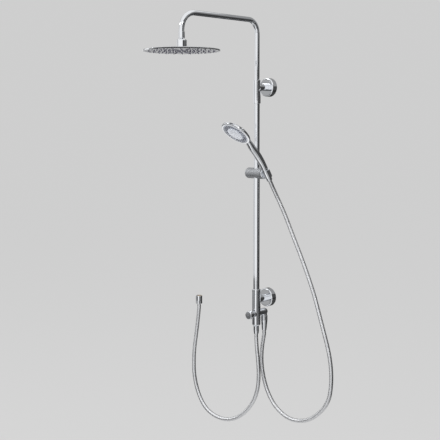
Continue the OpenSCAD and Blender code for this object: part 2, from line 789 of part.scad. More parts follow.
// Tapered seat of the hand shower, which tilts about the slider's axis
module holder_seat() {
    ring_d = seat_d + 5.6;
    half = slider_d / 2 + cut;
    web_out = holder_x - holder_start - 1;
    web_w = ring_d * 2 / 3;
    color("#55585c")
    difference() {
        union() {
            along_slider(holder_start) bevelled_tube(slider_d - 2, 0.02, 5, 1);
            at_holder() translate([0, 0, -seat_top]) cylinder(d = ring_d, h = seat_h);
            at_holder() translate([-web_out, -web_w / 2, -seat_top + 3])
                cube([web_out, web_w, seat_h - 6]);
        }
        at_holder() translate([0, 0, -half])
            cylinder(r1 = seat_r(-half), r2 = seat_r(half), h = 2 * half);
        at_holder() translate([-slot_w / 2, -ring_d, -seat_top - cut])
            cube([slot_w, ring_d, seat_h + 2 * cut]);
        along_slider(holder_start - cut) cylinder(d = axle_d - 2, h = 3 + cut);
    }
}

module holder_axle() {
    color("#9a9ea3")
    along_slider(slider_right - axle_len) {
        cylinder(d = axle_d, h = axle_len + holder_start - slider_right);
        cylinder(d = axle_d - 2.1, h = axle_len + holder_start - slider_right + 2.9);
    }
}

module holder_washer() {
    color("#e8e4d8")
    along_slider(slider_right) difference() {
        cylinder(d = slider_d - 12, h = holder_start - slider_right);
        translate([0, 0, -cut]) cylinder(d = axle_d + 2 * fit, h = 4);
    }
}

// One oval ring of the handle: its place along the curve, how far past the curve's end,
// half its width, half its depth and how far it sits back from the curve
function handle_ring(a, past, wide, deep, back) = [for (k = [0:23]) let (b = 15 * k)
    handle_point(a) + past * [0, -sin(a), cos(a)] + [wide * cos(b), 0, 0]
    + (deep * sin(b) + back) * [0, cos(a), sin(a)]];
function handle_rings() = concat(
    [for (i = [0:handle_steps]) let (s = i / handle_steps)
        handle_ring(handle_curve * s, 0, handle_wide(s), handle_deep(s), handle_back(s))],
    [for (r = neck_rings) handle_ring(handle_curve, r[0], r[1], r[2], r[3])]
);

// Half outline of the head's back: a shallow round dome and its rim
module dome_outline() {
    translate([0, -dome_edge]) {
        intersection() {
            translate([0, dome_ball - hand_dome]) circle(dome_ball, $fn = 240);
            translate([0, -2 * hand_dome]) square([dome_r, 2 * hand_dome + rim_lip]);
        }
        square([dome_r, rim_lip]);
    }
}

module handset_shell() {
    color("#dfe3e6")
    difference() {
        union() {
            at_holder() ring_solid(handle_rings());
            at_face() rotate_extrude($fn = 96) dome_outline();
        }
        at_face() translate([0, 0, -dome_edge - 2]) cylinder(d = hand_head_d - 16, h = dome_edge + 6);
        at_holder() translate([0, 0, nut_up - cut]) cylinder(d = handle_bore_d, h = 8 + cut);
    }
}

// Sleeve in the handle's bore that carries the water on from the nipple
module handset_tube() {
    color("#e8e4d8")
    at_holder() translate([0, 0, nut_up + 1]) difference() {
        cylinder(d = handle_bore_d - 2 * fit, h = 6.8);
        translate([0, 0, -cut]) cylinder(d = 10, h = 9);
    }
}

// Threaded end on which the hose's nut sits
module handset_nipple() {
    color("#c9b06a")
    at_holder() translate([0, 0, nut_up - thread_len]) difference() {
        union() {
            cylinder(d = pipe_thread_d - 0.6, h = thread_len);
            cylinder(d = handle_bore_d - 2 * fit, h = thread_len + 1);
        }
        translate([0, 0, -cut]) cylinder(d = 10, h = thread_len + 3);
    }
}

// Lever on the ring, with its two outer corners round
module lever_outline() {
    translate([-2, -lever_w / 2]) square([2 + lever_out - lever_corner, lever_w]);
    translate([-2, lever_corner - lever_w / 2]) square([2 + lever_out, lever_w - 2 * lever_corner]);
    for (s = [-1, 1]) translate([lever_out - lever_corner, s * (lever_w / 2 - lever_corner)])
        circle(lever_corner);
}

// Ring round the spray face, with the lever that picks the spray
module selector_ring() {
    color("#dfe3e6")
    at_face() difference() {
        union() {
            translate([0, 0, -dome_edge + 2.2]) soft_disc(hand_head_d, dome_edge - 1.2, 2);
            rotate([0, 0, lever_turn]) translate([hand_head_d / 2, 0, -dome_edge + 2.4])
                linear_extrude(lever_t) lever_outline();
        }
        translate([0, 0, -dome_edge]) cylinder(d = hand_face_d + 2 * ball_gap, h = dome_edge + 3);
    }
}

module selector_disc() {
    color("#e8e4d8")
    at_face() translate([0, 0, -dome_edge - 1.7]) difference() {
        cylinder(d = hand_head_d - 18, h = 3);
        ring_pattern([[22, 8]]) translate([0, 0, -cut]) cylinder(d = 6, h = 5, $fn = 24);
        translate([0, 0, -cut]) cylinder(d = 6.4, h = 5);
    }
}

module handset_face() {
    color("#c9d0da")
    at_face() translate([0, 0, -dome_edge + 4]) difference() {
        soft_disc(hand_face_d, dome_edge - 3.2, 1);
        ring_pattern(hand_rings) translate([0, 0, -cut])
            cylinder(d = hand_nozzle_d + 0.4, h = dome_edge, $fn = 20);
        translate([0, 0, -cut]) cylinder(d = 4.2, h = 3 + cut);
    }
}

module handset_nozzles() {
    base = -dome_edge + 1.5;
    color("#4a4c58")
    at_face() difference() {
        union() {
            translate([0, 0, base]) cylinder(d = hand_face_d - 2, h = 2.5);
            ring_pattern(hand_rings) translate([0, 0, base + 2])
                cylinder(d1 = hand_nozzle_d, d2 = hand_nozzle_d * 0.7, h = 1.2 - base - 1, $fn = 20);
        }
        translate([0, 0, base - cut]) cylinder(d = 4.2, h = 5);
    }
}

module face_screw() {
    color("#c8c8c8")
    at_face() translate([0, 0, -dome_edge - 1.8]) cylinder(d = 4, h = 8);
}

module hand_cone_nut() {
    color("#dfe3e6")
    at_holder() difference() {
        translate([0, 0, -nut_down])
            cylinder(r1 = seat_r(-nut_down) - seat_gap, r2 = seat_r(nut_up) - seat_gap,
                h = nut_down + nut_up - 0.4);
        translate([0, 0, nut_up - thread_len - washer_t])
            cylinder(d = pipe_thread_d - 0.4, h = 2 * thread_len);
        translate([0, 0, -nut_down - cut]) cylinder(d = insert_d + 2 * fit, h = nut_down + nut_up);
    }
}

module flat_washer(d) {
    difference() {
        cylinder(d = d, h = washer_t);
        translate([0, 0, -cut]) cylinder(d = waterway_d, h = washer_t + 2 * cut);
    }
}

// Pipe inside a nut, from the hose's end to the washer
module hose_insert(h) {
    translate([0, 0, 0.5]) difference() {
        cylinder(d = insert_d, h = h - 0.5);
        translate([0, 0, -cut]) cylinder(d = insert_d - 3, h = h + 2 * cut);
    }
}

module hand_washer() {
    color("#2c2c2e")
    at_holder() translate([0, 0, nut_up - thread_len - washer_t]) flat_washer(pipe_thread_d - 0.8);
}
module hand_insert() {
    color("#c9b06a")
    at_holder() translate([0, 0, -nut_down]) hose_insert(nut_down + nut_up - thread_len - washer_t);
}
module hand_hose() { color("#ccd0d4") hose(hand_route); }

// Tapered nut of a hose, wide end up
module tapered_nut(top_d, low_d, h, thread) {
    difference() {
        union() {
            translate([0, 0, h - thread_len - 2]) bevelled_tube(top_d, 1, thread_len + 2, 0.6);
            cylinder(d1 = low_d, d2 = top_d, h = h - thread_len - 2);
        }
        translate([0, 0, h - thread_len]) cylinder(d = thread + 0.2, h = 2 * thread_len);
        translate([0, 0, -cut]) cylinder(d = insert_d + 2 * fit, h = h);
    }
}

module at_outlet() translate([0, -outlet_gap, outlet_nut_bottom]) children();
module at_inlet() translate([0, -wall_gap, inlet_nut_bottom]) children();
module at_tap() translate([tap_x, tap_y, tap_nut_bottom]) children();

module outlet_nut() {
    color("#dfe3e6") at_outlet() tapered_nut(outlet_nut_d, nut_end_d, outlet_nut_h, pipe_thread_d);
}
module outlet_washer() {
    color("#2c2c2e")
    at_outlet() translate([0, 0, outlet_nut_h - thread_len]) flat_washer(pipe_thread_d - 0.4);
}
module outlet_insert() { color("#c9b06a") at_outlet() hose_insert(outlet_nut_h - thread_len); }

module supply_hose() { color("#ccd0d4") hose(supply_route); }
module inlet_nut() {
    color("#dfe3e6") at_inlet() tapered_nut(inlet_nut_d, nut_end_d, inlet_nut_h, inlet_thread_d);
}
module inlet_insert() { color("#c9b06a") at_inlet() hose_insert(inlet_nut_h - thread_len); }

// Free end of the supply hose, screwed to a tap when the set is in use
module tap_nut() {
    flats = tap_nut_d * 0.94;
    color("#dfe3e6")
    at_tap() difference() {
        intersection() {
            bevelled_tube(tap_nut_d, 1, tap_nut_h, 1.2);
            union() {
                cylinder(d = 2 * flats / sqrt(3), h = 12, $fn = 6);
                translate([0, 0, 12]) cylinder(d = tap_nut_d, h = tap_nut_h);
            }
        }
        translate([0, 0, tap_nut_h - thread_len]) cylinder(d = pipe_thread_d, h = thread_len + cut);
        translate([0, 0, tap_washer_z]) cylinder(d = tap_washer_d + 4 * fit, h = thread_len);
        translate([0, 0, -cut]) cylinder(d = insert_d + 2 * fit, h = tap_nut_h);
    }
}
module tap_washer() {
    color("#2c2c2e")
    at_tap() translate([0, 0, tap_washer_z]) flat_washer(tap_washer_d);
}
module tap_insert() { color("#c9b06a") at_tap() hose_insert(tap_washer_z); }

upper_wall_plate();
upper_rosette();
upper_holder();
upper_stub_screw();
clamp_screw();
lower_wall_plate();
lower_rosette();
lower_stub_screw();
lower_pole();
upper_pole();
pole_seal();
arm_seal();
union_nut();
diverter_body();
diverter_cartridge();
diverter_bonnet();
diverter_spindle();
diverter_knob();
knob_screw();
shower_arm();
swivel_nut();
arm_washer();
ball_stem();
ball_seat_ring();
head_collar();
ball_seal();
head_back_shell();
head_face_plate();
head_nozzle_mat();
slider_bush();
slider_body();
brake_shoe();
release_button();
button_spring();
holder_seat();
holder_axle();
holder_washer();
handset_shell();
handset_tube();
handset_nipple();
selector_ring();
selector_disc();
handset_face();
handset_nozzles();
face_screw();
hand_cone_nut();
hand_washer();
hand_insert();
hand_hose();
outlet_nut();
outlet_washer();
outlet_insert();
supply_hose();
inlet_nut();
inlet_insert();
tap_nut();
tap_washer();
tap_insert();
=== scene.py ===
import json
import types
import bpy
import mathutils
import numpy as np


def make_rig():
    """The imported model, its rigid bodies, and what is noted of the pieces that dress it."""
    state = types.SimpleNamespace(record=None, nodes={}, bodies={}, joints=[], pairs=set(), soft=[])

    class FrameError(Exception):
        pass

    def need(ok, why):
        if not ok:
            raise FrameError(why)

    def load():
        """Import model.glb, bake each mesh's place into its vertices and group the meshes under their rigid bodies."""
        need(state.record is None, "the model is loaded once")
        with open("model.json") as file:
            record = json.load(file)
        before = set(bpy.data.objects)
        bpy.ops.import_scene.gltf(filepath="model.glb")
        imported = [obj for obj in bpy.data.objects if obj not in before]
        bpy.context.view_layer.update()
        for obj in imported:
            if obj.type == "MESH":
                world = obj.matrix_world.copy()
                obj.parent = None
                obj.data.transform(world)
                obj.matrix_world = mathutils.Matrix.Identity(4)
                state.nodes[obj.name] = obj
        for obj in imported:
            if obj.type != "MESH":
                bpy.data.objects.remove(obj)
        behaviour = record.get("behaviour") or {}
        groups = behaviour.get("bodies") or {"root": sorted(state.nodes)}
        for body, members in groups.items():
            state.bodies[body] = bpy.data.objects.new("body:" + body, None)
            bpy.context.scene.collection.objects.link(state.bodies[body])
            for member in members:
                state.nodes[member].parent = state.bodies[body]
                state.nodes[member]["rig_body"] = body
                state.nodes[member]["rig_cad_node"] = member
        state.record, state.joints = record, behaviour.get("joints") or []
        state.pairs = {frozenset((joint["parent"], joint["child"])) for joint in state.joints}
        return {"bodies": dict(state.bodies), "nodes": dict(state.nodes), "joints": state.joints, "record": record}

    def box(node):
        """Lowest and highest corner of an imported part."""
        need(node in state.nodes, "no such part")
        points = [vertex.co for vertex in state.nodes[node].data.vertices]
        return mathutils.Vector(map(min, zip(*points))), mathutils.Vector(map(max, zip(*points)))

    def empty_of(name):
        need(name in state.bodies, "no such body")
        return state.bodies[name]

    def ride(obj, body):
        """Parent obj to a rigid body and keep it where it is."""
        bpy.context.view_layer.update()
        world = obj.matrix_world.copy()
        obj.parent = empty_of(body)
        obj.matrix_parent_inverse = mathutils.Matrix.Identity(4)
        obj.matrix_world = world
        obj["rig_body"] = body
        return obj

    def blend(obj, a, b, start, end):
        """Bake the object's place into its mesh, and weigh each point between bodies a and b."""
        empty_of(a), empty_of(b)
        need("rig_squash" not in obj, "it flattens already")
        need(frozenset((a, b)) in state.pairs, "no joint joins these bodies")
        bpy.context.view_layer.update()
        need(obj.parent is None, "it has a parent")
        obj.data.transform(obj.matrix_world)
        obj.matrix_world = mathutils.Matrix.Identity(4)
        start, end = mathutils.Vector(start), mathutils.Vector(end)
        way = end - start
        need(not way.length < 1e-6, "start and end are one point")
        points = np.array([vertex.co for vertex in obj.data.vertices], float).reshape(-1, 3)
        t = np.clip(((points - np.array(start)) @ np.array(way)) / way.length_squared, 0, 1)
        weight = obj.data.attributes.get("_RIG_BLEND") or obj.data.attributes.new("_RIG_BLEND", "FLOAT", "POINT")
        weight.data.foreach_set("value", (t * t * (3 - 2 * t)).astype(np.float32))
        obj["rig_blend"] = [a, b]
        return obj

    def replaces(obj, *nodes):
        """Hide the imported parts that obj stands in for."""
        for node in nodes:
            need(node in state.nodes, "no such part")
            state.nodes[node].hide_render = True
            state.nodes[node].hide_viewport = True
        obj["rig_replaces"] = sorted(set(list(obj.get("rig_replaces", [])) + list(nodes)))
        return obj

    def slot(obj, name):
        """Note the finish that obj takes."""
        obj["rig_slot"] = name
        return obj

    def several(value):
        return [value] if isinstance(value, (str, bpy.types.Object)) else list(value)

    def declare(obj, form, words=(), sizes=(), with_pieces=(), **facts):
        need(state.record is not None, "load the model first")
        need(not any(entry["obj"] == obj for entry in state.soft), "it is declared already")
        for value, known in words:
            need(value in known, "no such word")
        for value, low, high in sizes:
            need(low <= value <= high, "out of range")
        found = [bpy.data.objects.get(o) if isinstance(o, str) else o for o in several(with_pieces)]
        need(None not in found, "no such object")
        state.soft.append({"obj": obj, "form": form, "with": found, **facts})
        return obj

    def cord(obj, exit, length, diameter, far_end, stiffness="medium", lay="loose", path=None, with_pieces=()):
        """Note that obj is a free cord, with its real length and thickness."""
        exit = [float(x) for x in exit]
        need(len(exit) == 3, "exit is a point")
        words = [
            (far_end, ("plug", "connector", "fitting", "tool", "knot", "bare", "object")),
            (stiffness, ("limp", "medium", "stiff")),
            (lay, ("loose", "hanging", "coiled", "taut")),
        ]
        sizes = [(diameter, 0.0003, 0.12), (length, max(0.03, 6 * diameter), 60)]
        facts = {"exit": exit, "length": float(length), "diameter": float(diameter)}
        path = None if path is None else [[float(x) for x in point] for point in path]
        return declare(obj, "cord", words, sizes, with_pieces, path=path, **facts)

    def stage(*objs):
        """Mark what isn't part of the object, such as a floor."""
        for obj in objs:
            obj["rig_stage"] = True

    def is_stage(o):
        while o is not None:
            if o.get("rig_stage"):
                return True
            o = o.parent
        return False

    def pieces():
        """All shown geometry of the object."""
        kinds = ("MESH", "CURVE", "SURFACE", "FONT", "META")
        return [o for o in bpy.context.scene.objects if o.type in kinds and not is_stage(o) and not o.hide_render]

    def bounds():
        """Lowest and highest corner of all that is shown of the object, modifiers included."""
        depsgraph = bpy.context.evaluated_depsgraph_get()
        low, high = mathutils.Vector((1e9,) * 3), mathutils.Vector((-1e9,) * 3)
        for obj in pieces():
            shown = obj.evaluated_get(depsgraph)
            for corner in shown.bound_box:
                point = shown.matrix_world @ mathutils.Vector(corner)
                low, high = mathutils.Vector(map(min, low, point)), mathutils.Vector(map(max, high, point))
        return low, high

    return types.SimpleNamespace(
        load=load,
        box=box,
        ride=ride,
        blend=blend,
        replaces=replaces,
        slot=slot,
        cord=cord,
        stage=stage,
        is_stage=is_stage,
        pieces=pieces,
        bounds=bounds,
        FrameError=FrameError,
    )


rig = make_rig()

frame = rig.load()

import json
import math

import bmesh
import bpy
from mathutils import Matrix, Vector

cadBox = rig.bounds()
nodes = frame["nodes"]
print("frame loaded")


# camera, at the place from which the column, the wall covers and the rain head line up
cameraSet = {
    "place": (2.21671, -2.55674, -0.14248),
    "azimuth": 43.95,    # degrees round the column, from the front towards the right
    "tilt": 4.29,        # degrees downwards
    "focalPixels": 940,  # focal length in pixels of a picture 440 wide
    "pictureWidth": 440,
    "sensorWidth": 36,
    "shift": -0.05,
    "seesFrom": 0.05,    # metres from the camera
    "seesTo": 60,
}


def makeCamera(c):
    data = bpy.data.cameras.new("camera")
    data.sensor_width = c["sensorWidth"]
    data.lens = c["sensorWidth"] * c["focalPixels"] / c["pictureWidth"]
    data.shift_y = c["shift"]
    data.clip_start = c["seesFrom"]
    data.clip_end = c["seesTo"]
    cam = bpy.data.objects.new("camera", data)
    cam.location = c["place"]
    cam.rotation_euler = (math.radians(90 - c["tilt"]), 0, math.radians(c["azimuth"]))
    bpy.context.scene.collection.objects.link(cam)
    bpy.context.scene.camera = cam


makeCamera(cameraSet)
print("camera set")


# shader maths, written as expressions on sockets
class Sock:
    def __init__(self, graph, socket):
        self.graph = graph
        self.socket = socket

    def math(self, operation, a, b):
        return self.graph.add("ShaderNodeMath", {"operation": operation}, {0: a, 1: b})

    def __add__(self, other):
        return self.math("ADD", self, other)

    def __mul__(self, other):
        return self.math("MULTIPLY", self, other)

    def __rsub__(self, other):  # a number minus this socket
        return self.math("SUBTRACT", other, self)

    __radd__ = __add__
    __rmul__ = __mul__


class Graph:
    def __init__(self, tree):
        self.tree = tree
        tree.nodes.clear()

    def add(self, kind, settings=None, inputs=None, output=0):
        made = self.tree.nodes.new(kind)
        for name, value in (settings or {}).items():
            if name == "stops":  # places and colours of a ramp
                ramp = made.color_ramp.elements
                for i, (place, colour) in enumerate(value):
                    stop = ramp[i] if i < 2 else ramp.new(place)
                    stop.position = place
                    stop.color = (*colour, 1)
            else:
                setattr(made, name, value)
        for name, value in (inputs or {}).items():
            socket = made.inputs[name]
            if isinstance(value, Sock):
                self.tree.links.new(value.socket, socket)
            elif socket.type == "RGBA" and len(value) == 3:
                socket.default_value = (*value, 1)
            else:
                socket.default_value = value
        return Sock(self, made.outputs[output])

    # object coordinates about a centre in metres, first stretched and then turned by degrees
    def place(self, scale=(1, 1, 1), turn=(0, 0, 0), centre=(0, 0, 0)):
        spot = self.add("ShaderNodeTexCoord", output="Object")
        moved = self.add("ShaderNodeVectorMath", {"operation": "SUBTRACT"}, {0: spot, 1: centre})
        return self.add("ShaderNodeMapping", {"vector_type": "POINT"}, {
            "Vector": moved, "Rotation": [math.radians(t) for t in turn], "Scale": scale})

    def noise(self, size, detail=3, scale=(1, 1, 1), turn=(0, 0, 0)):  # size in metres
        return self.add("ShaderNodeTexNoise", {"noise_dimensions": "3D"}, {
            "Vector": self.place(scale, turn), "Scale": 1 / size, "Detail": detail})

    def ramp(self, value, *stops):
        return self.add("ShaderNodeValToRGB", {"stops": stops}, {"Fac": value})

    def step(self, value, low, high):  # from 0 at low to 1 at high
        return self.add("ShaderNodeMapRange", {"interpolation_type": "SMOOTHSTEP"}, {
            "Value": value, "From Min": low, "From Max": high, "To Min": 0.0, "To Max": 1.0})

    def mix(self, mask, a, b):  # colours
        return self.add("ShaderNodeMix", {"data_type": "RGBA"}, {0: mask, 6: a, 7: b}, output=2)

    def finish(self, shader, kind="ShaderNodeOutputMaterial"):
        self.tree.links.new(shader.socket, self.tree.nodes.new(kind).inputs[0])


def emptyMaterial(name):
    mat = bpy.data.materials.new(name)
    mat.use_nodes = True
    return mat, Graph(mat.node_tree)


# base, rough and bump are functions that build their nodes in a graph, and metallic may be one
def newMaterial(name, base, metallic, rough, bump=None, depth=0.0, **fixed):
    mat, graph = emptyMaterial(name)
    inputs = {
        "Base Color": base(graph),
        "Roughness": rough(graph),
        "Metallic": metallic(graph) if callable(metallic) else metallic,
    }
    if bump:
        inputs["Normal"] = graph.add("ShaderNodeBump", None, {"Height": bump(graph), "Distance": depth})
    for socket, value in fixed.items():
        inputs[socket.replace("_", " ")] = value
    graph.finish(graph.add("ShaderNodeBsdfPrincipled", None, inputs))
    return mat


# finishes
def drift(low, high, size, **how):  # a value that wanders between two others
    return lambda g: low + (high - low) * g.noise(size, 4, **how)


def tint(dark, light, size, **how):  # a colour that wanders between two others
    return lambda g: g.ramp(g.noise(size, **how), (0.32, dark), (0.68, light))


def grain(size, **how):  # height for a bump
    return lambda g: g.noise(size, **how)


chromeSet = {
    "dark": (0.76, 0.78, 0.81),
    "light": (0.86, 0.875, 0.90),
    "patch": 0.06,          # size of its lighter and darker patches
    "peel": 0.005,          # size of the waves in the plating
    "peelDepth": 0.0000015,
    "smudge": 0.028,        # size of the places that are less smooth
}


def plating(name, low=0.03, high=0.085, **how):  # low and high are roughness
    c = chromeSet
    return newMaterial(name, tint(c["dark"], c["light"], c["patch"], **how), 1.0,
                       drift(low, high, c["smudge"], **how), grain(c["peel"], **how), c["peelDepth"])


chrome = plating("chrome")
tubeChrome = plating("tubeChrome", 0.05, 0.09, scale=(1, 1, 0.02))  # drawn along the column
armChrome = plating("armChrome", scale=(1, 0.15, 0.4))              # drawn along the arm


# satin of the slider, which the seat for the hand shower carries on up to its chromed ring
satinSet = {
    "dark": (0.285, 0.295, 0.31),
    "light": (0.325, 0.335, 0.35),
    "patch": 0.03,                      # size of its lighter and darker patches
    "metal": 0.7,
    "rough": 0.38,
    "wander": 0.05,                     # how much the roughness varies
    "line": 0.0007,                     # width of the lines left by the lathe
    "lineScale": (1, 0.03, 0.03),       # they run round the slider, to within a few degrees
    "lineTurn": (0, 0, 8),              # turns the noise itself, after the stretching
    "lineDepth": 0.0000012,
    "along": (0.990268, -0.139173, 0),  # the slider's axis
    "seatRough": 0.42,
    "seatSmudge": 0.002,
    "seatGrain": 0.003,
    "seatDepth": 0.000002,
    "ringStart": 0.0515,                # where the ring begins, metres along the axis
    "ringBlur": 0.0006,
    "ringPatch": 0.02,
    "ringRough": 0.08,
}


def ringPart(g):  # 0 on the disc and web of the seat, 1 on the ring that holds the hand shower
    s = satinSet
    spot = g.add("ShaderNodeVectorMath", {"operation": "DOT_PRODUCT"}, {0: g.place(), 1: s["along"]},
                 output=1)
    return g.step(spot, s["ringStart"] - s["ringBlur"], s["ringStart"] + s["ringBlur"])


def makeSatin(s):
    lines = {"scale": s["lineScale"], "turn": s["lineTurn"]}
    return newMaterial("satin", tint(s["dark"], s["light"], s["patch"]), s["metal"],
                       lambda g: s["rough"] + s["wander"] * g.noise(s["line"], 4, **lines),
                       grain(s["line"], **lines), s["lineDepth"])


def makeSeatPlating(s, c):
    def base(g):
        return g.mix(ringPart(g), tint(s["dark"], s["light"], s["patch"])(g),
                     tint(c["dark"], c["light"], s["ringPatch"])(g))

    def rough(g):
        return (s["seatRough"] - (s["seatRough"] - s["ringRough"]) * ringPart(g)
                + s["wander"] * g.noise(s["seatSmudge"]))

    return newMaterial("seatPlating", base, lambda g: s["metal"] + (1 - s["metal"]) * ringPart(g),
                       rough, grain(s["seatGrain"]), s["seatDepth"])


satin = makeSatin(satinSet)
seatPlating = makeSeatPlating(satinSet, chromeSet)


# rain head: a back pressed and polished on a wheel, which leaves faint lines, and a duller face
headSet = {
    "centre": (0, -0.436, 0),
    "backDark": (0.72, 0.735, 0.76),
    "backLight": (0.82, 0.835, 0.86),
    "backPatch": 0.08,
    "backRough": 0.05,
    "backLines": 0.05,   # how much the lines and the smudges add to it
    "backSmudges": 0.03,
    "backLine": 0.0009,  # width of the lines
    "backSmudge": 0.04,
    "backWave": 0.0012,
    "backDepth": 0.0000015,
    "faceDark": (0.60, 0.61, 0.64),
    "faceLight": (0.72, 0.73, 0.76),
    "facePatch": 0.05,
    "faceMetal": 0.9,
    "faceRough": 0.22,
    "faceLines": 0.12,
    "faceLine": 0.0007,
    "faceDepth": 0.000006,
}


def spunLines(g, size):  # noise that only changes with the distance from the rain head's axis
    spot = g.place(scale=(1, 1, 0), centre=headSet["centre"])
    far = g.add("ShaderNodeVectorMath", {"operation": "LENGTH"}, {0: spot}, output=1)
    return g.add("ShaderNodeTexNoise", {"noise_dimensions": "1D"}, {
        "W": far, "Scale": 1 / size, "Detail": 3})


def makeHeadSteel(h):
    def rough(g):
        return (h["backRough"] + h["backLines"] * spunLines(g, h["backLine"])
                + h["backSmudges"] * g.noise(h["backSmudge"]))

    return newMaterial("headSteel", tint(h["backDark"], h["backLight"], h["backPatch"]), 1.0, rough,
                       lambda g: spunLines(g, h["backWave"]), h["backDepth"])


def makePlateSteel(h):
    return newMaterial("plateSteel", tint(h["faceDark"], h["faceLight"], h["facePatch"]), h["faceMetal"],
                       lambda g: h["faceRough"] + h["faceLines"] * spunLines(g, h["faceLine"]),
                       lambda g: spunLines(g, h["faceLine"]), h["faceDepth"])


headSteel = makeHeadSteel(headSet)
plateSteel = makePlateSteel(headSet)


# the plainer finishes: two colours, how metallic, roughness from and to, then in millimetres the size
# of the patches of colour, of the patches of roughness and of the grain, and its depth in micrometres
plainSet = {
    "steel": ((0.50, 0.51, 0.53), (0.62, 0.63, 0.65), 1.0, 0.18, 0.32, 10, 6, 0.9, 6),
    "castMetal": ((0.42, 0.43, 0.44), (0.55, 0.56, 0.58), 1.0, 0.35, 0.5, 8, 4, 1.2, 40),
    "rainRubber": ((0.075, 0.07, 0.12), (0.12, 0.115, 0.17), 0.0, 0.38, 0.55, 20, 3, 0.5, 30),
    "sprayFace": ((0.50, 0.53, 0.60), (0.58, 0.61, 0.67), 0.45, 0.22, 0.34, 20, 6, 0.6, 8),
    "sprayPale": ((0.66, 0.69, 0.75), (0.74, 0.77, 0.82), 0.0, 0.2, 0.32, 12, 5, 0.6, 8),
    "ribRubber": ((0.035, 0.035, 0.055), (0.065, 0.065, 0.09), 0.0, 0.4, 0.55, 3, 2, 0.4, 20),
    "greyPlastic": ((0.045, 0.048, 0.053), (0.07, 0.074, 0.08), 0.0, 0.36, 0.5, 10, 3, 0.4, 30),
    "whitePlastic": ((0.68, 0.67, 0.62), (0.78, 0.77, 0.73), 0.0, 0.34, 0.46, 15, 4, 0.5, 20),
    "brass": ((0.52, 0.36, 0.15), (0.68, 0.49, 0.24), 1.0, 0.2, 0.38, 5, 4, 0.8, 10),
    "rubber": ((0.016, 0.016, 0.017), (0.03, 0.03, 0.032), 0.0, 0.5, 0.7, 10, 3, 0.5, 40),
}


def plainFinish(name, **fixed):
    dark, light, metallic, low, high, patch, smudge, size, depth = plainSet[name]
    return newMaterial(name, tint(dark, light, patch / 1000), metallic, drift(low, high, smudge / 1000),
                       grain(size / 1000), depth / 1000000, **fixed)


steel = plainFinish("steel")
castMetal = plainFinish("castMetal")
rainRubber = plainFinish("rainRubber")
sprayFace = plainFinish("sprayFace")
sprayPale = plainFinish("sprayPale", Coat_Weight=0.3)
ribRubber = plainFinish("ribRubber")
greyPlastic = plainFinish("greyPlastic")
whitePlastic = plainFinish("whitePlastic")
brass = plainFinish("brass")
rubber = plainFinish("rubber")
# painted shade for the openings of the nozzles, near black
holeShade = newMaterial("holeShade", tint((0.008, 0.008, 0.012), (0.018, 0.018, 0.024), 0.004), 0.0,
                       drift(0.5, 0.7, 0.002))


# chromed steel strip of the hoses, with painted shade in the bottoms of the grooves between its turns
hoseFinish = {
    "ribDark": (0.82, 0.83, 0.85),
    "ribLight": (0.89, 0.90, 0.92),
    "ribPatch": 0.02,
    # painted shade at the bottoms of the grooves
    "grooveShade": (0.16, 0.16, 0.17),
    "grooveShadeShare": 0.65,  # how far the bottom of a groove takes the painted shade
    "rough": 0.20,
    "wander": 0.08,       # how much it varies, and the size of its patches
    "smudge": 0.01,
    "grooveRough": 0.2,   # added to it at the bottom of a groove
    "grain": 0.0012,
    "grainDepth": 0.000006,
}


def groove(g):  # 1 in the grooves of a wound hose, 0 on its ribs: where the painted shade and the added roughness go
    return g.add("ShaderNodeAttribute", {"attribute_name": "groove"}, output="Fac")


def makeHoseMetal(f):
    def base(g):
        rib = g.ramp(g.noise(f["ribPatch"]), (0.3, f["ribDark"]), (0.7, f["ribLight"]))
        # painted shade darkens the bottoms of the grooves
        return g.mix(groove(g) * f["grooveShadeShare"], rib, f["grooveShade"])

    def rough(g):
        return f["rough"] + f["wander"] * g.noise(f["smudge"]) + f["grooveRough"] * groove(g)

    return newMaterial("hoseMetal", base, 1.0, rough, grain(f["grain"]), f["grainDepth"])


hoseMetal = makeHoseMetal(hoseFinish)


# rubber nozzles of the hand shower: pale in the middle, dark in the two outer rows
nozzleFinish = {
    "centre": (0.03483, -0.21739, -0.16347),  # middle of the spray face
    "paleEnds": 0.029,                        # metres from the middle
    "darkStarts": 0.031,
    "pale": ((0.42, 0.45, 0.52), (0.52, 0.55, 0.61)),
    "dark": ((0.045, 0.045, 0.065), (0.085, 0.085, 0.11)),
    "patch": 0.004,
    "rough": (0.34, 0.5, 0.002),              # from, to, and the size of its patches
    "grain": 0.0004,
    "grainDepth": 0.00002,
}


def makeHandRubber(f):
    def base(g):
        far = g.add("ShaderNodeVectorMath", {"operation": "LENGTH"}, {0: g.place(centre=f["centre"])},
                    output=1)
        pale, dark = (g.ramp(g.noise(f["patch"]), (0.3, low), (0.7, high))
                      for low, high in (f["pale"], f["dark"]))
        return g.mix(g.step(far, f["paleEnds"], f["darkStarts"]), pale, dark)

    return newMaterial("handRubber", base, 0.0, drift(*f["rough"]), grain(f["grain"]), f["grainDepth"])


handRubber = makeHandRubber(nozzleFinish)
print("finishes mixed")


# from a bmesh to a piece of the scene, and a smooth curve through points
def fromBmesh(name, bm, mat, angle=None):  # smooth up to that angle in degrees, flat without one
    mesh = bpy.data.meshes.new(name)
    bm.to_mesh(mesh)
    bm.free()
    obj = bpy.data.objects.new(name, mesh)
    bpy.context.scene.collection.objects.link(obj)
    mesh.materials.append(mat)
    if angle:
        mesh.polygons.foreach_set("use_smooth", [True] * len(mesh.polygons))
        mesh.set_sharp_from_angle(angle=math.radians(angle))
    mesh.update()
    return obj


def between(a, b, c, d, t):  # the smooth curve from b to c, for points or numbers
    return 0.5 * (2 * b + t * (c - a) + t * t * (2 * a - 5 * b + 4 * c - d)
                  + t ** 3 * (3 * b - a - 3 * c + d))


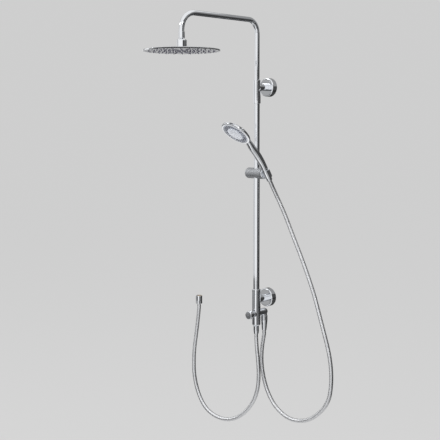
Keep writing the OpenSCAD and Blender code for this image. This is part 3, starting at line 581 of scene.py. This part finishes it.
# hoses: chromed steel strip wound into a flexible tube, on the routes of the plain solids
hoseSet = {
    "width": 0.014,
    "pitch": 0.0030,                    # one turn of the strip
    "groove": 0.00045,                  # depth between two turns
    "profile": (0.0, 0.12, 1.0, 0.12),  # shares of that depth, at the rings of one turn
    "sides": 20,
    "splits": (0.087, 0.222, 0.345, 1.059),  # where a stretch ends, metres from the hand shower
    "handRoute": [
        (56.269, -64.781, -326.517), (57.243, -57.849, -338.641), (58, -50, -353), (61, -43, -368),
        (65, -36, -385), (71, -30, -403), (79, -25, -424), (89, -20, -449), (102, -15, -482),
        (125, -11, -534), (149, -9, -583), (173, -9, -631), (194, -10, -674), (213, -11, -716),
        (231, -13, -760), (248, -15, -804), (265, -18, -846), (281, -20, -888), (293, -21, -930),
        (300, -22, -975), (300, -22, -1020), (293, -22, -1064), (276, -23, -1099), (250, -24, -1129),
        (216, -25, -1155), (174, -25, -1172), (130, -26, -1176), (88, -26, -1165), (50, -27, -1139),
        (22, -27, -1103), (3, -27, -1062), (-8, -27, -1020), (-12, -27, -978), (-9, -27, -936),
        (-2, -27, -898), (0, -27, -887), (0, -27, -873)],
    "whole": 14,          # rings at the ends of a stretch that don't bend
    # how the hanging side lets the slider come down, and the metres at its ends that don't bend
    "giveWay": Vector((0.574, 0, -0.819)).normalized(),
    "startWhole": 0.005,
    "endWhole": 0.008,
    "handEnds": (["hand_cone_nut", "hand_washer", "hand_insert"], [], [], [],
                 ["outlet_nut", "outlet_washer", "outlet_insert"]),
    "supplyEnds": ["inlet_nut", "inlet_insert", "tap_nut", "tap_washer", "tap_insert"],
    "supplyRoute": [
        (0, -70, -880), (0, -70, -894), (3, -70, -930), (7, -69, -970), (9, -67, -1010),
        (7, -65, -1050), (0, -64, -1088), (-14, -65, -1125), (-36, -69, -1160), (-68, -75, -1192),
        (-108, -81, -1214), (-152, -85, -1222), (-196, -88, -1216), (-234, -90, -1197),
        (-264, -90, -1165), (-285, -90, -1123), (-297, -90, -1076), (-301, -88, -1028),
        (-300, -86, -980), (-295, -83, -932), (-289, -81, -885), (-283, -81, -845),
        (-280, -81, -820), (-280, -81, -806)],
}


def lengthOf(points):
    return sum((b - a).length for a, b in zip(points, points[1:]))


def routeLine(route, step, fineness=24):  # points along a route in millimetres, evenly spaced
    p = [Vector(q) / 1000 for q in route]
    fine = [p[0]]
    for i in range(1, len(p) - 2):  # the first and last stretches stay straight
        fine += [between(*p[i - 1:i + 3], k / fineness) for k in range(fineness)]
    fine += [p[-2], p[-1]]
    total = lengthOf(fine)
    count = round(total / step)
    line, gone, i = [], 0.0, 0
    for k in range(count + 1):
        want = total * k / count
        while i < len(fine) - 2 and gone + (fine[i + 1] - fine[i]).length < want:
            gone += (fine[i + 1] - fine[i]).length
            i += 1
        stretch = fine[i + 1] - fine[i]
        line.append(fine[i] + stretch * min(1, (want - gone) / stretch.length))
    return line


def lineFrames(line):  # place, side and up at each point, with as little twist as can be
    frames = []
    side = None
    for i, p in enumerate(line):
        way = (line[min(i + 1, len(line) - 1)] - line[max(i - 1, 0)]).normalized()
        side = way.cross(Vector((0, 1, 0))) if side is None else side - way * side.dot(way)
        side.normalize()
        frames.append((p, side, way.cross(side)))
    return frames


def woundTube(name, frames, mat, h):  # ribs and grooves in turn, closed at both ends
    bm = bmesh.new()
    depth = bm.verts.layers.float.new("groove")
    turns = [2 * math.pi * k / h["sides"] for k in range(h["sides"])]
    rings = []
    for i, (p, side, up) in enumerate(frames):
        low = h["profile"][i % len(h["profile"])]
        r = h["width"] / 2 - h["groove"] * low
        ring = [bm.verts.new(p + r * (math.cos(a) * side + math.sin(a) * up)) for a in turns]
        for v in ring:
            v[depth] = low
        rings.append(ring)
    for a, b in zip(rings, rings[1:]):
        for k in range(h["sides"]):
            m = (k + 1) % h["sides"]
            bm.faces.new((a[k], a[m], b[m], b[k]))
    bm.faces.new(rings[0][::-1])
    bm.faces.new(rings[-1])
    bmesh.ops.recalc_face_normals(bm, faces=bm.faces)
    return fromBmesh(name, bm, mat, angle=60)


def layHoses(h):
    rings = len(h["profile"])  # in one turn
    frames = lineFrames(routeLine(h["handRoute"], h["pitch"] / rings))
    cuts = [0] + [rings * round(s / h["pitch"]) for s in h["splits"]] + [len(frames) - 1]
    steps = (("handset", "holder"), ("holder", "slider"), ("slider", "carriage"),
             ("carriage", "wall_set"), ("wall_set", None))  # bodies at the two ends of each stretch
    total = 0
    for k, (near, far) in enumerate(steps):
        part = frames[cuts[k]:cuts[k + 1] + 1]
        path = [f[0] for f in part]
        length = lengthOf(path)
        total += length
        piece = woundTube(f"handHose{k + 1}", part, hoseMetal, h)
        if far is None:  # the last stretch, up to the outlet, doesn't move
            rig.ride(piece, near)
        else:
            start, end = path[h["whole"]], path[-1 - h["whole"]]
            if far == "wall_set":
                way = h["giveWay"]
                start = path[0] + h["startWhole"] * way
                end = start + way * ((path[-1] - start).dot(way) - h["endWhole"])
            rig.blend(piece, near, far, start, end)
        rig.slot(piece, "hose_metal")
        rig.cord(piece, exit=path[0], length=length, diameter=h["width"], far_end="object",
                stiffness="medium", lay="hanging", path=path, with_pieces=h["handEnds"][k])
    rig.replaces(piece, "hand_hose")
    print("hand hose, metres:", round(total, 4))
    frames = lineFrames(routeLine(h["supplyRoute"], h["pitch"] / rings))
    path = [f[0] for f in frames]
    length = lengthOf(path)
    piece = woundTube("supplyHose", frames, hoseMetal, h)
    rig.ride(piece, "wall_set")
    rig.replaces(piece, "supply_hose")
    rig.slot(piece, "hose_metal")
    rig.cord(piece, exit=path[0], length=length, diameter=h["width"], far_end="fitting",
            stiffness="medium", lay="loose", path=path, with_pieces=h["supplyEnds"])
    print("supply hose, metres:", round(length, 4))


layHoses(hoseSet)
print("hoses laid")


# frames in millimetres, and shapes of revolution about local Z
def shift(x, y, z):
    return Matrix.Translation((x / 1000, y / 1000, z / 1000))


def turned(degrees, axis):
    return Matrix.Rotation(math.radians(degrees), 4, axis)


def sized(x, y, z=1000):
    return Matrix.Diagonal((x / 1000, y / 1000, z / 1000, 1))


def arc(x, y, r, start, end, count):  # degrees, counted from the x axis
    turns = [math.radians(start + (end - start) * k / count) for k in range(count + 1)]
    return [(x + r * math.cos(a), y + r * math.sin(a)) for a in turns]


def addSpun(bm, outline, place, steps=96):  # a closed shape from an outline of radius and height
    verts = [bm.verts.new((r / 1000, 0, z / 1000)) for r, z in outline]
    edges = [bm.edges.new(pair) for pair in zip(verts, verts[1:])]
    if outline[0][0] or outline[-1][0]:
        edges.append(bm.edges.new((verts[-1], verts[0])))
    before = set(bm.verts) - set(verts)
    bmesh.ops.spin(bm, geom=verts + edges, cent=(0, 0, 0), axis=(0, 0, 1), angle=2 * math.pi,
                   steps=steps, use_merge=True)
    made = [v for v in bm.verts if v not in before]
    bmesh.ops.remove_doubles(bm, verts=made, dist=1e-6)
    made = [v for v in bm.verts if v not in before]
    bmesh.ops.transform(bm, matrix=place, verts=made)


def addSwept(bm, frames, sides=40):  # a ring carried through frames that also give its size
    made = bmesh.ops.create_circle(bm, segments=sides, radius=1, matrix=frames[0])["verts"]
    edges = list({e for v in made for e in v.link_edges})
    ends = list(edges)
    for a, b in zip(frames, frames[1:]):
        new = bmesh.ops.extrude_edge_only(bm, edges=edges)["geom"]
        verts = [g for g in new if isinstance(g, bmesh.types.BMVert)]
        edges = [g for g in new if isinstance(g, bmesh.types.BMEdge) and set(g.verts) <= set(verts)]
        bmesh.ops.transform(bm, matrix=b @ a.inverted(), verts=verts)
    bmesh.ops.holes_fill(bm, edges=ends + edges)


# hand shower, in millimetres and degrees, in the frame of its own axis
handSet = {
    "column": (0, -70, -304),
    "sliderTurn": 8,
    "reach": 55,           # from the column to the seat's middle
    "lean": 30,
    "foot": 20,            # start of the handle above the seat's middle
    "curve": 21,           # how far the handle bends
    "curveRadius": 350,
    "thick": 22.6,
    "belly": 1.4,          # how much thicker the handle is half-way
    "narrower": 0.3,       # how much narrower and shallower it is at its upper end
    "flatter": 2.8,
    "back": 4,             # how far its upper end sits back, and from which share of its length on
    "backFrom": 0.7,
    "footRound": [(0, 0.8), (0.25, 0.25), (0.8, 0)],  # height and inset of the rounded foot
    "rings": 30,
    # past the curve's end: place, half width, half depth, set-back
    "neck": [(0, 11, 8.5, 4), (9, 13, 7.4, 5.6), (18, 15.5, 6.4, 6.6), (28, 17, 5.2, 6),
             (40, 15, 3.8, 5.2)],
    "neckSteps": 5,        # from one of these to the next
    "faceForward": 10,
    "faceUp": 54,
    "rim": 53,             # radius of the head
    "dome": 16,            # how far its back is domed
    "edge": 7,             # from the face back to the dome's foot
    "lip": 2,              # half height of the edge under the dome
    "lipInset": 4,
    "ringWidth": 110,
    "ringLow": 2.2,        # the selector ring starts that far in front of the dome's foot
    "ringHigh": 1.0,
    "ringRound": 2,        # its rounded corners: outside, inside and at its foot
    "ringInner": 0.8,
    "ringFoot": 0.4,
    "ringGap": 0.3,        # between it and the spray face
    "faceWidth": 92,
    "lever": (9, 12, 3.6),
    "leverTurn": 18,
    "leverOut": 2.5,       # its middle, past the ring and behind the face
    "leverDrop": 2.8,
    "leverCorner": 3,
    "leverEdge": 0.7,
}


def handFrame(h):  # at the seat's middle, local Z up the handle
    return (shift(*h["column"]) @ turned(-h["sliderTurn"], "Z") @ shift(h["reach"], 0, 0)
            @ turned(h["lean"], "X"))


def curveFrame(h, degrees):  # on the handle's middle line
    a, r = math.radians(degrees), h["curveRadius"]
    return (handFrame(h) @ shift(0, -r * (1 - math.cos(a)), h["foot"] + r * math.sin(a))
            @ turned(degrees, "X"))


def faceFrame(h):  # local Z is the way the water leaves
    return curveFrame(h, h["curve"]) @ shift(0, -h["faceForward"], h["faceUp"]) @ turned(90, "X")


def smoothRows(rows, steps):  # rows of numbers with smooth steps between them
    made = []
    ends = [rows[0]] + rows + [rows[-1]]
    for i in range(len(rows) - 1):
        for k in range(steps):
            made.append([between(*four, k / steps) for four in zip(*ends[i:i + 4])])
    return made + [rows[-1]]


def makeHandShell(h):
    frames = []
    for i in range(h["rings"] + 1):
        s = i / h["rings"]
        swell = h["thick"] / 2 + h["belly"] * math.sin(math.pi * s)
        share = max(0, (s - h["backFrom"]) / (1 - h["backFrom"]))
        back = h["back"] * (1 - math.cos(math.pi * share)) / 2
        place = curveFrame(h, h["curve"] * s) @ shift(0, back, 0)
        wide, deep = swell - h["narrower"] * s, swell - h["flatter"] * s ** 6  # flatter only near the end
        for up, inset in h["footRound"] if i == 0 else [(0, 0)]:
            frames.append(place @ shift(0, 0, up) @ sized(wide - inset, deep - inset))
    top = curveFrame(h, h["curve"])
    for past, wide, deep, back in smoothRows(h["neck"], h["neckSteps"])[1:]:
        frames.append(top @ shift(0, back, past) @ sized(wide, deep))
    bm = bmesh.new()
    addSwept(bm, frames)
    ball = (h["rim"] ** 2 + h["dome"] ** 2) / (2 * h["dome"])  # radius of the ball the dome is cut from
    spread = math.degrees(math.asin(h["rim"] / ball))
    edge = -h["edge"]
    outline = arc(0, edge - h["dome"] + ball, ball, -90, -90 + spread, 14)
    outline[0] = (0, edge - h["dome"])
    inner, lip = h["rim"] - h["lipInset"], h["lip"]
    outline += [(h["rim"], edge + lip), (inner, edge + lip), (inner, edge - lip), (0, edge - lip)]
    addSpun(bm, outline, faceFrame(h))
    bmesh.ops.recalc_face_normals(bm, faces=bm.faces)
    shell = fromBmesh("handShell", bm, chrome, angle=30)
    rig.ride(shell, "handset")
    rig.replaces(shell, "handset_shell")
    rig.slot(shell, "plated_shell")


def makeSelector(h):
    bm = bmesh.new()
    r, low, high = h["ringWidth"] / 2, h["ringLow"] - h["edge"], h["ringHigh"]
    inner = h["faceWidth"] / 2 + h["ringGap"]
    foot, outside, inside = h["ringFoot"], h["ringRound"], h["ringInner"]
    outline = ([(inner, low), (r - foot, low), (r, low + foot)]
               + arc(r - outside, high - outside, outside, 0, 90, 6)
               + arc(inner + inside, high - inside, inside, 90, 180, 4))
    addSpun(bm, outline, faceFrame(h))
    place = faceFrame(h) @ turned(h["leverTurn"], "Z") @ shift(r + h["leverOut"], 0, -h["leverDrop"])
    made = bmesh.ops.create_cube(bm, size=1, matrix=place @ sized(*h["lever"]))["verts"]
    edges = {e for v in made for e in v.link_edges}
    upright = [e for e in edges if abs(e.calc_length() - h["lever"][2] / 1000) < 1e-5]
    rounded = bmesh.ops.bevel(bm, geom=upright, offset=h["leverCorner"] / 1000, offset_type="OFFSET",
                              affect="EDGES", segments=5, profile=0.5, material=-1)["faces"]
    # the rims of its top and bottom, which are the only edges past 50 degrees
    corners = {e for f in rounded for v in f.verts for e in v.link_edges if e.calc_face_angle(0) > 0.9}
    bmesh.ops.bevel(bm, geom=list(corners), offset=h["leverEdge"] / 1000, offset_type="OFFSET",
                    affect="EDGES", segments=3, profile=0.5, material=-1)
    bmesh.ops.recalc_face_normals(bm, faces=bm.faces)
    ring = fromBmesh("selectorRing", bm, chrome, angle=30)
    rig.ride(ring, "selector")
    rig.replaces(ring, "selector_ring")
    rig.slot(ring, "plated_shell")


# raised middle of the spray face, and the rubber ribs round its outer nozzles
faceSet = {
    "middle": 28.5,      # radius
    "foot": 0.6,         # in front of the face frame, where it starts
    "rise": 4.6,
    "crown": [(0.6, 0.25), (0.3, 0.03), (0, 0)],  # share of the radius, and how far below the top
    "edgeDrop": 0.9,     # the same at its rounded edge
    "round": 1.6,
    "ribs": [(34, 24, 6.0), (40.2, 28, 5.2)],  # radius, count, length
    "ribWidth": 2.5,
    "ribHeight": 0.9,
    "ribRound": 0.6,
    "faceTop": 0.8,
}


def makeSprayFace(f, h):
    bm = bmesh.new()
    top, edge, r = f["foot"] + f["rise"], f["middle"], f["round"]
    outline = ([(0, f["foot"]), (edge, f["foot"])] + arc(edge - r, top - f["edgeDrop"] - r, r, 0, 80, 6)
               + [(edge * share, top - drop) for share, drop in f["crown"]])
    addSpun(bm, outline, faceFrame(h))
    bmesh.ops.recalc_face_normals(bm, faces=bm.faces)
    middle = fromBmesh("sprayMiddle", bm, sprayPale, angle=30)
    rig.ride(middle, "handset")
    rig.slot(middle, "spray_face")
    bm = bmesh.new()
    for radius, count, length in f["ribs"]:
        size = sized(length, f["ribWidth"], 2 * f["ribHeight"])  # the lower half is sunk in the face
        for k in range(count):
            place = faceFrame(h) @ turned(360 * k / count, "Z") @ shift(radius, 0, f["faceTop"])
            made = bmesh.ops.create_cube(bm, size=1, matrix=place @ size)["verts"]
            edges = list({e for v in made for e in v.link_edges})
            bmesh.ops.bevel(bm, geom=edges, offset=f["ribRound"] / 1000, offset_type="OFFSET",
                            affect="EDGES", segments=2, profile=0.5, material=-1)
    ribs = fromBmesh("sprayRibs", bm, ribRubber, angle=40)
    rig.ride(ribs, "handset")
    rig.slot(ribs, "nozzle_rubber")


makeHandShell(handSet)
makeSelector(handSet)
makeSprayFace(faceSet, handSet)
print("hand shower shell made")


# painted shade in the openings at the ends of the nozzles, as near-black discs: rings as radius and count, in
# millimetres
holeSet = {
    "rainRings": [(14, 6), (28, 12), (42, 18), (57, 24), (73, 24), (90, 24), (107, 24)],
    "rainHole": 0.95,
    "handRings": [(34, 24), (40, 28)],
    "handTip": 2.2,  # how far the nozzles reach in front of the face frame
    "middleRings": [(8, 6), (16, 12)],
    "middleTip": 5.2,
    "handHole": 0.6,
    "deep": 0.6,
    "standsOut": 0.02,
}


# near-black discs of painted shade, one sunk into the end of each nozzle
def nozzleHoles(name, rings, r, deep, place, body):
    bm = bmesh.new()
    for radius, count in rings:
        for k in range(count):
            spot = place @ turned(360 * k / count, "Z") @ shift(radius, 0, 0)
            bmesh.ops.create_cone(bm, cap_ends=True, segments=8, radius1=r / 1000, radius2=r / 1000,
                                  depth=deep / 1000, matrix=spot)
    holes = fromBmesh(name, bm, holeShade)
    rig.ride(holes, body)
    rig.slot(holes, "nozzle_rubber")


def makeHoles(h):
    deep = h["deep"]
    sunk = deep / 2 - h["standsOut"]  # from the nozzle's end in to the opening's middle
    low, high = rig.box("head_nozzle_mat")
    spot = Matrix.Translation(((low.x + high.x) / 2, (low.y + high.y) / 2, low.z + sunk / 1000))
    nozzleHoles("rainHoleShade", h["rainRings"], h["rainHole"], deep, spot, "head")
    for name, rings, tip in (("handHoleShade", h["handRings"], h["handTip"]),
                             ("middleHoleShade", h["middleRings"], h["middleTip"])):
        spot = faceFrame(handSet) @ shift(0, 0, tip - sunk)
        nozzleHoles(name, rings, h["handHole"], deep, spot, "handset")


makeHoles(holeSet)


# thread inside the free nut of the supply hose, in millimetres
threadSet = {
    "foot": (-280, -81, -788.6),
    "outer": 10.6,       # radius in the nut's wall, and at the crest
    "crest": 9.75,
    "pitch": 1.9,
    "flankShare": 0.42,  # half width in the wall, as a share of the pitch
    "crestHalf": 0.12,
    "turns": 6.5,
    "steps": 28,
}


def makeThread(t):
    bm = bmesh.new()
    flank, crest = t["pitch"] * t["flankShare"], t["crestHalf"]
    outline = ((t["outer"], -flank), (t["outer"], flank), (t["crest"], crest), (t["crest"], -crest))
    face = bm.faces.new([bm.verts.new((r / 1000, 0, z / 1000)) for r, z in outline])
    count = round(t["turns"] * t["steps"])
    bmesh.ops.spin(bm, geom=[face], cent=(0, 0, 0), axis=(0, 0, 1), angle=2 * math.pi * t["turns"],
                   dvec=(0, 0, t["pitch"] / 1000 / t["steps"]), steps=count)
    bmesh.ops.transform(bm, matrix=shift(*t["foot"]), verts=bm.verts)
    bmesh.ops.remove_doubles(bm, verts=bm.verts, dist=1e-7)
    bmesh.ops.recalc_face_normals(bm, faces=bm.faces)
    thread = fromBmesh("tapThread", bm, brass, angle=50)
    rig.ride(thread, "wall_set")
    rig.slot(thread, "brass")


makeThread(threadSet)
print("small parts made")


# a finish for every solid, those that a finer piece stands in for too
finishes = [
    (chrome, ["upper_rosette", "upper_holder", "lower_rosette", "union_nut", "diverter_body",
              "diverter_knob", "swivel_nut", "head_collar", "outlet_nut", "inlet_nut", "tap_nut",
              "hand_cone_nut", "handset_nipple", "release_button", "selector_ring", "handset_shell",
              "ball_stem"]),
    (tubeChrome, ["lower_pole", "upper_pole"]),
    (armChrome, ["shower_arm"]),
    (satin, ["slider_body"]),
    (castMetal, ["upper_wall_plate", "lower_wall_plate"]),
    (steel, ["upper_stub_screw", "lower_stub_screw", "clamp_screw", "knob_screw", "face_screw",
             "button_spring", "diverter_bonnet", "holder_axle"]),
    (headSteel, ["head_back_shell"]),
    (plateSteel, ["head_face_plate"]),
    (rainRubber, ["head_nozzle_mat"]),
    (sprayFace, ["handset_face"]),
    (handRubber, ["handset_nozzles"]),
    (seatPlating, ["holder_seat"]),
    (greyPlastic, ["brake_shoe"]),
    (whitePlastic, ["slider_bush", "selector_disc", "handset_tube", "diverter_cartridge",
                    "ball_seat_ring", "holder_washer"]),
    (brass, ["diverter_spindle", "hand_insert", "outlet_insert", "inlet_insert",
             "tap_insert"]),
    (rubber, ["pole_seal", "arm_seal", "arm_washer", "ball_seal", "hand_washer", "outlet_washer",
              "tap_washer"]),
    (hoseMetal, ["hand_hose", "supply_hose"]),
]
for mat, names in finishes:
    for name in names:
        for own in nodes[name].material_slots:
            own.material = mat
left = set(nodes) - {n for m, names in finishes for n in names}
print("finishes given, left over:", sorted(left))


# studio: pale paper all round, soft lamps, and cards that only reflections see
studioSet = {
    "paper": 0.62,        # background as the camera and the metal see it
    "fill": 0.72,         # soft light from all round
    "floorHeight": -1.75,
    "floorSize": 60,
    "floorTone": 0.8,
    "shadowShare": 0.15,  # share of the floor that takes light and shadow
    # name, brightness, start and end in degrees round the column, outline as distance and height, and
    # how far in front of the wall its middle is
    "cards": [
        ("windowLeft", 1.0, -172, -147, [(3.0, 1.5), (3.0, -1.15)]),
        ("windowSash", 0.42, -147, -122, [(3.0, 1.5), (3.0, -1.15)]),
        ("windowRight", 1.0, -122, -28, [(3.0, 1.5), (3.0, -1.15)]),
        ("roomSide", 0.08, -28, 24, [(3.0, 2.2), (3.0, -1.15)]),
        ("doorEdge", 0.04, -56, -34, [(2.9, 0.25), (2.9, 0.03)]),
        ("lowLeft", 0.18, -190, -147, [(3.0, -1.15), (3.0, -1.7), (0.9, -1.7)]),
        ("lowPale", 0.42, -147, -122, [(3.0, -1.15), (3.0, -1.38)]),
        ("lowGrey", 0.14, -147, -122, [(3.0, -1.38), (3.0, -1.7), (0.9, -1.7)]),
        ("lowEdge", 0.04, -122, -92, [(3.0, -1.15), (3.0, -1.7), (0.9, -1.7)]),
        ("lowBright", 1.0, -92, -48, [(3.0, -1.15), (3.0, -1.7), (0.9, -1.7)]),
        ("lowSide", 0.22, -48, -8, [(3.0, -1.15), (3.0, -1.7)]),
        ("lowDark", 0.05, -8, 2, [(3.0, -1.15), (3.0, -1.7)]),
        ("sideFloor", 0.45, -48, -2, [(3.0, -1.7), (0.9, -1.7)]),
        ("lowWall", 0.05, 2, 24, [(3.0, -1.15), (3.0, -1.7)]),
        ("farFloor", 0.06, -2, 158, [(3.0, -1.7), (0.9, -1.7)]),
        ("brightFloor", 1.0, -202, -190, [(3.2, -1.7), (1.0, -1.7)]),
        ("rimStrip", 0.02, -95, 2, [(0.14, 0.1042), (0.14, 0.1105)], -0.436),  # round the rain head
    ],
    # name, brightness, two opposite corners
    "sheets": [
        ("wallTop", 0.32, (-2.0, 2.2, 0.45), (6.0, 2.2, 2.6)),
        ("wallMiddle", 0.07, (-2.0, 2.2, -1.1), (6.0, 2.2, 0.45)),
        ("wallFoot", 0.03, (-2.0, 2.2, -2.4), (6.0, 2.2, -1.1)),
        ("wallLeftTop", 0.25, (-7.0, 2.2, 0.6), (-2.0, 2.2, 2.6)),
        ("wallLeftWhite", 1.0, (-7.0, 2.2, 0.1), (-2.0, 2.2, 0.6)),
        ("wallLeftLow", 0.8, (-7.0, 2.2, -0.6), (-2.0, 2.2, 0.1)),
        ("wallLeftFoot", 0.12, (-7.0, 2.2, -2.4), (-2.0, 2.2, -0.6)),
        ("ceiling", 0.95, (-4.0, -4.0, 2.6), (4.0, 2.2, 2.6)),
    ],
    # name, place, aim, width, power
    "lamps": [
        ("keyLamp", (-2.6, -3.2, 2.4), (0, -0.2, -0.4), 1.8, 95),
        ("sideLamp", (3.4, -1.6, 1.6), (0, -0.2, -0.5), 1.6, 40),
        ("topLamp", (0.2, -1.0, 3.6), (0, -0.2, -0.5), 2.2, 50),
    ],
}


def seenRays(graph):  # 1 for rays that come from the camera, off metal or through glass
    seen = 0
    for kind in ("Is Camera Ray", "Is Glossy Ray", "Is Transmission Ray"):
        seen = graph.add("ShaderNodeLightPath", output=kind) + seen
    return seen


def makeWorld(s):
    world = bpy.data.worlds.new("studio")
    world.use_nodes = True
    graph = Graph(world.node_tree)
    level = s["fill"] + (s["paper"] - s["fill"]) * seenRays(graph)
    graph.finish(graph.add("ShaderNodeBackground", None, {"Color": (1, 1, 1), "Strength": level}),
                 "ShaderNodeOutputWorld")
    bpy.context.scene.world = world


def emitter(name, level):
    mat, graph = emptyMaterial(name)
    graph.finish(graph.add("ShaderNodeEmission", None, {"Color": (level, level, level)}))
    return mat


def makeFloor(s):
    mat, graph = emptyMaterial("floorPaper")
    tone, share = s["floorTone"], s["shadowShare"]
    far = (s["paper"] - share * tone * s["fill"]) / (1 - share)  # meets the background at the horizon
    matte = graph.add("ShaderNodeBsdfDiffuse", None, {"Color": (tone, tone, tone)})
    glow = graph.add("ShaderNodeEmission", None, {"Color": (1, 1, 1), "Strength": far})
    graph.finish(graph.add("ShaderNodeMixShader", None, {
        0: (1 - share) * seenRays(graph), 1: matte, 2: glow}))
    bm = bmesh.new()
    bmesh.ops.create_grid(bm, x_segments=1, y_segments=1, size=s["floorSize"] / 2,
                          matrix=Matrix.Translation((0, 0, s["floorHeight"])))
    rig.stage(fromBmesh("floor", bm, mat))


def onlyReflected(card):
    card.visible_camera = False
    card.visible_diffuse = False
    card.visible_transmission = False
    card.visible_shadow = False
    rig.stage(card)


def makeCard(name, level, start, end, outline, y=0):  # an outline swung round the column
    bm = bmesh.new()
    turnedTo = Matrix.Rotation(math.radians(start), 3, "Z")
    verts = [bm.verts.new(turnedTo @ Vector((far, 0, z))) for far, z in outline]
    edges = [bm.edges.new(pair) for pair in zip(verts, verts[1:])]
    bmesh.ops.spin(bm, geom=verts + edges, cent=(0, 0, 0), axis=(0, 0, 1),
                   angle=math.radians(end - start), steps=24)
    bmesh.ops.translate(bm, vec=(0, y, 0), verts=bm.verts)
    onlyReflected(fromBmesh(name, bm, emitter(name, level)))


def makeSheet(name, level, low, high):  # a flat rectangle
    bm = bmesh.new()
    x, y, z = ([a, b] for a, b in zip(low, high))
    corners = [(x[0], y[0], z[0]), (x[1], y[0], z[0]), (x[1], y[1], z[1]), (x[0], y[1], z[1])]
    bm.faces.new([bm.verts.new(c) for c in corners])
    onlyReflected(fromBmesh(name, bm, emitter(name, level)))


def makeLamps(s):
    for name, place, aim, width, power in s["lamps"]:
        data = bpy.data.lights.new(name, "AREA")
        data.size = width
        data.energy = power
        lamp = bpy.data.objects.new(name, data)
        lamp.location = place
        lamp.rotation_euler = (Vector(place) - Vector(aim)).to_track_quat("Z", "Y").to_euler()
        bpy.context.scene.collection.objects.link(lamp)


makeWorld(studioSet)
makeFloor(studioSet)
for card in studioSet["cards"]:
    makeCard(*card)
for sheet in studioSet["sheets"]:
    makeSheet(*sheet)
makeLamps(studioSet)
bpy.context.scene.view_settings.view_transform = "Standard"
print("studio lit")


def plain(bounds):
    return [[float(x) for x in corner] for corner in bounds]


with open("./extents.json", "w") as out:
    json.dump({"cad": plain(cadBox), "visual": plain(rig.bounds())}, out)
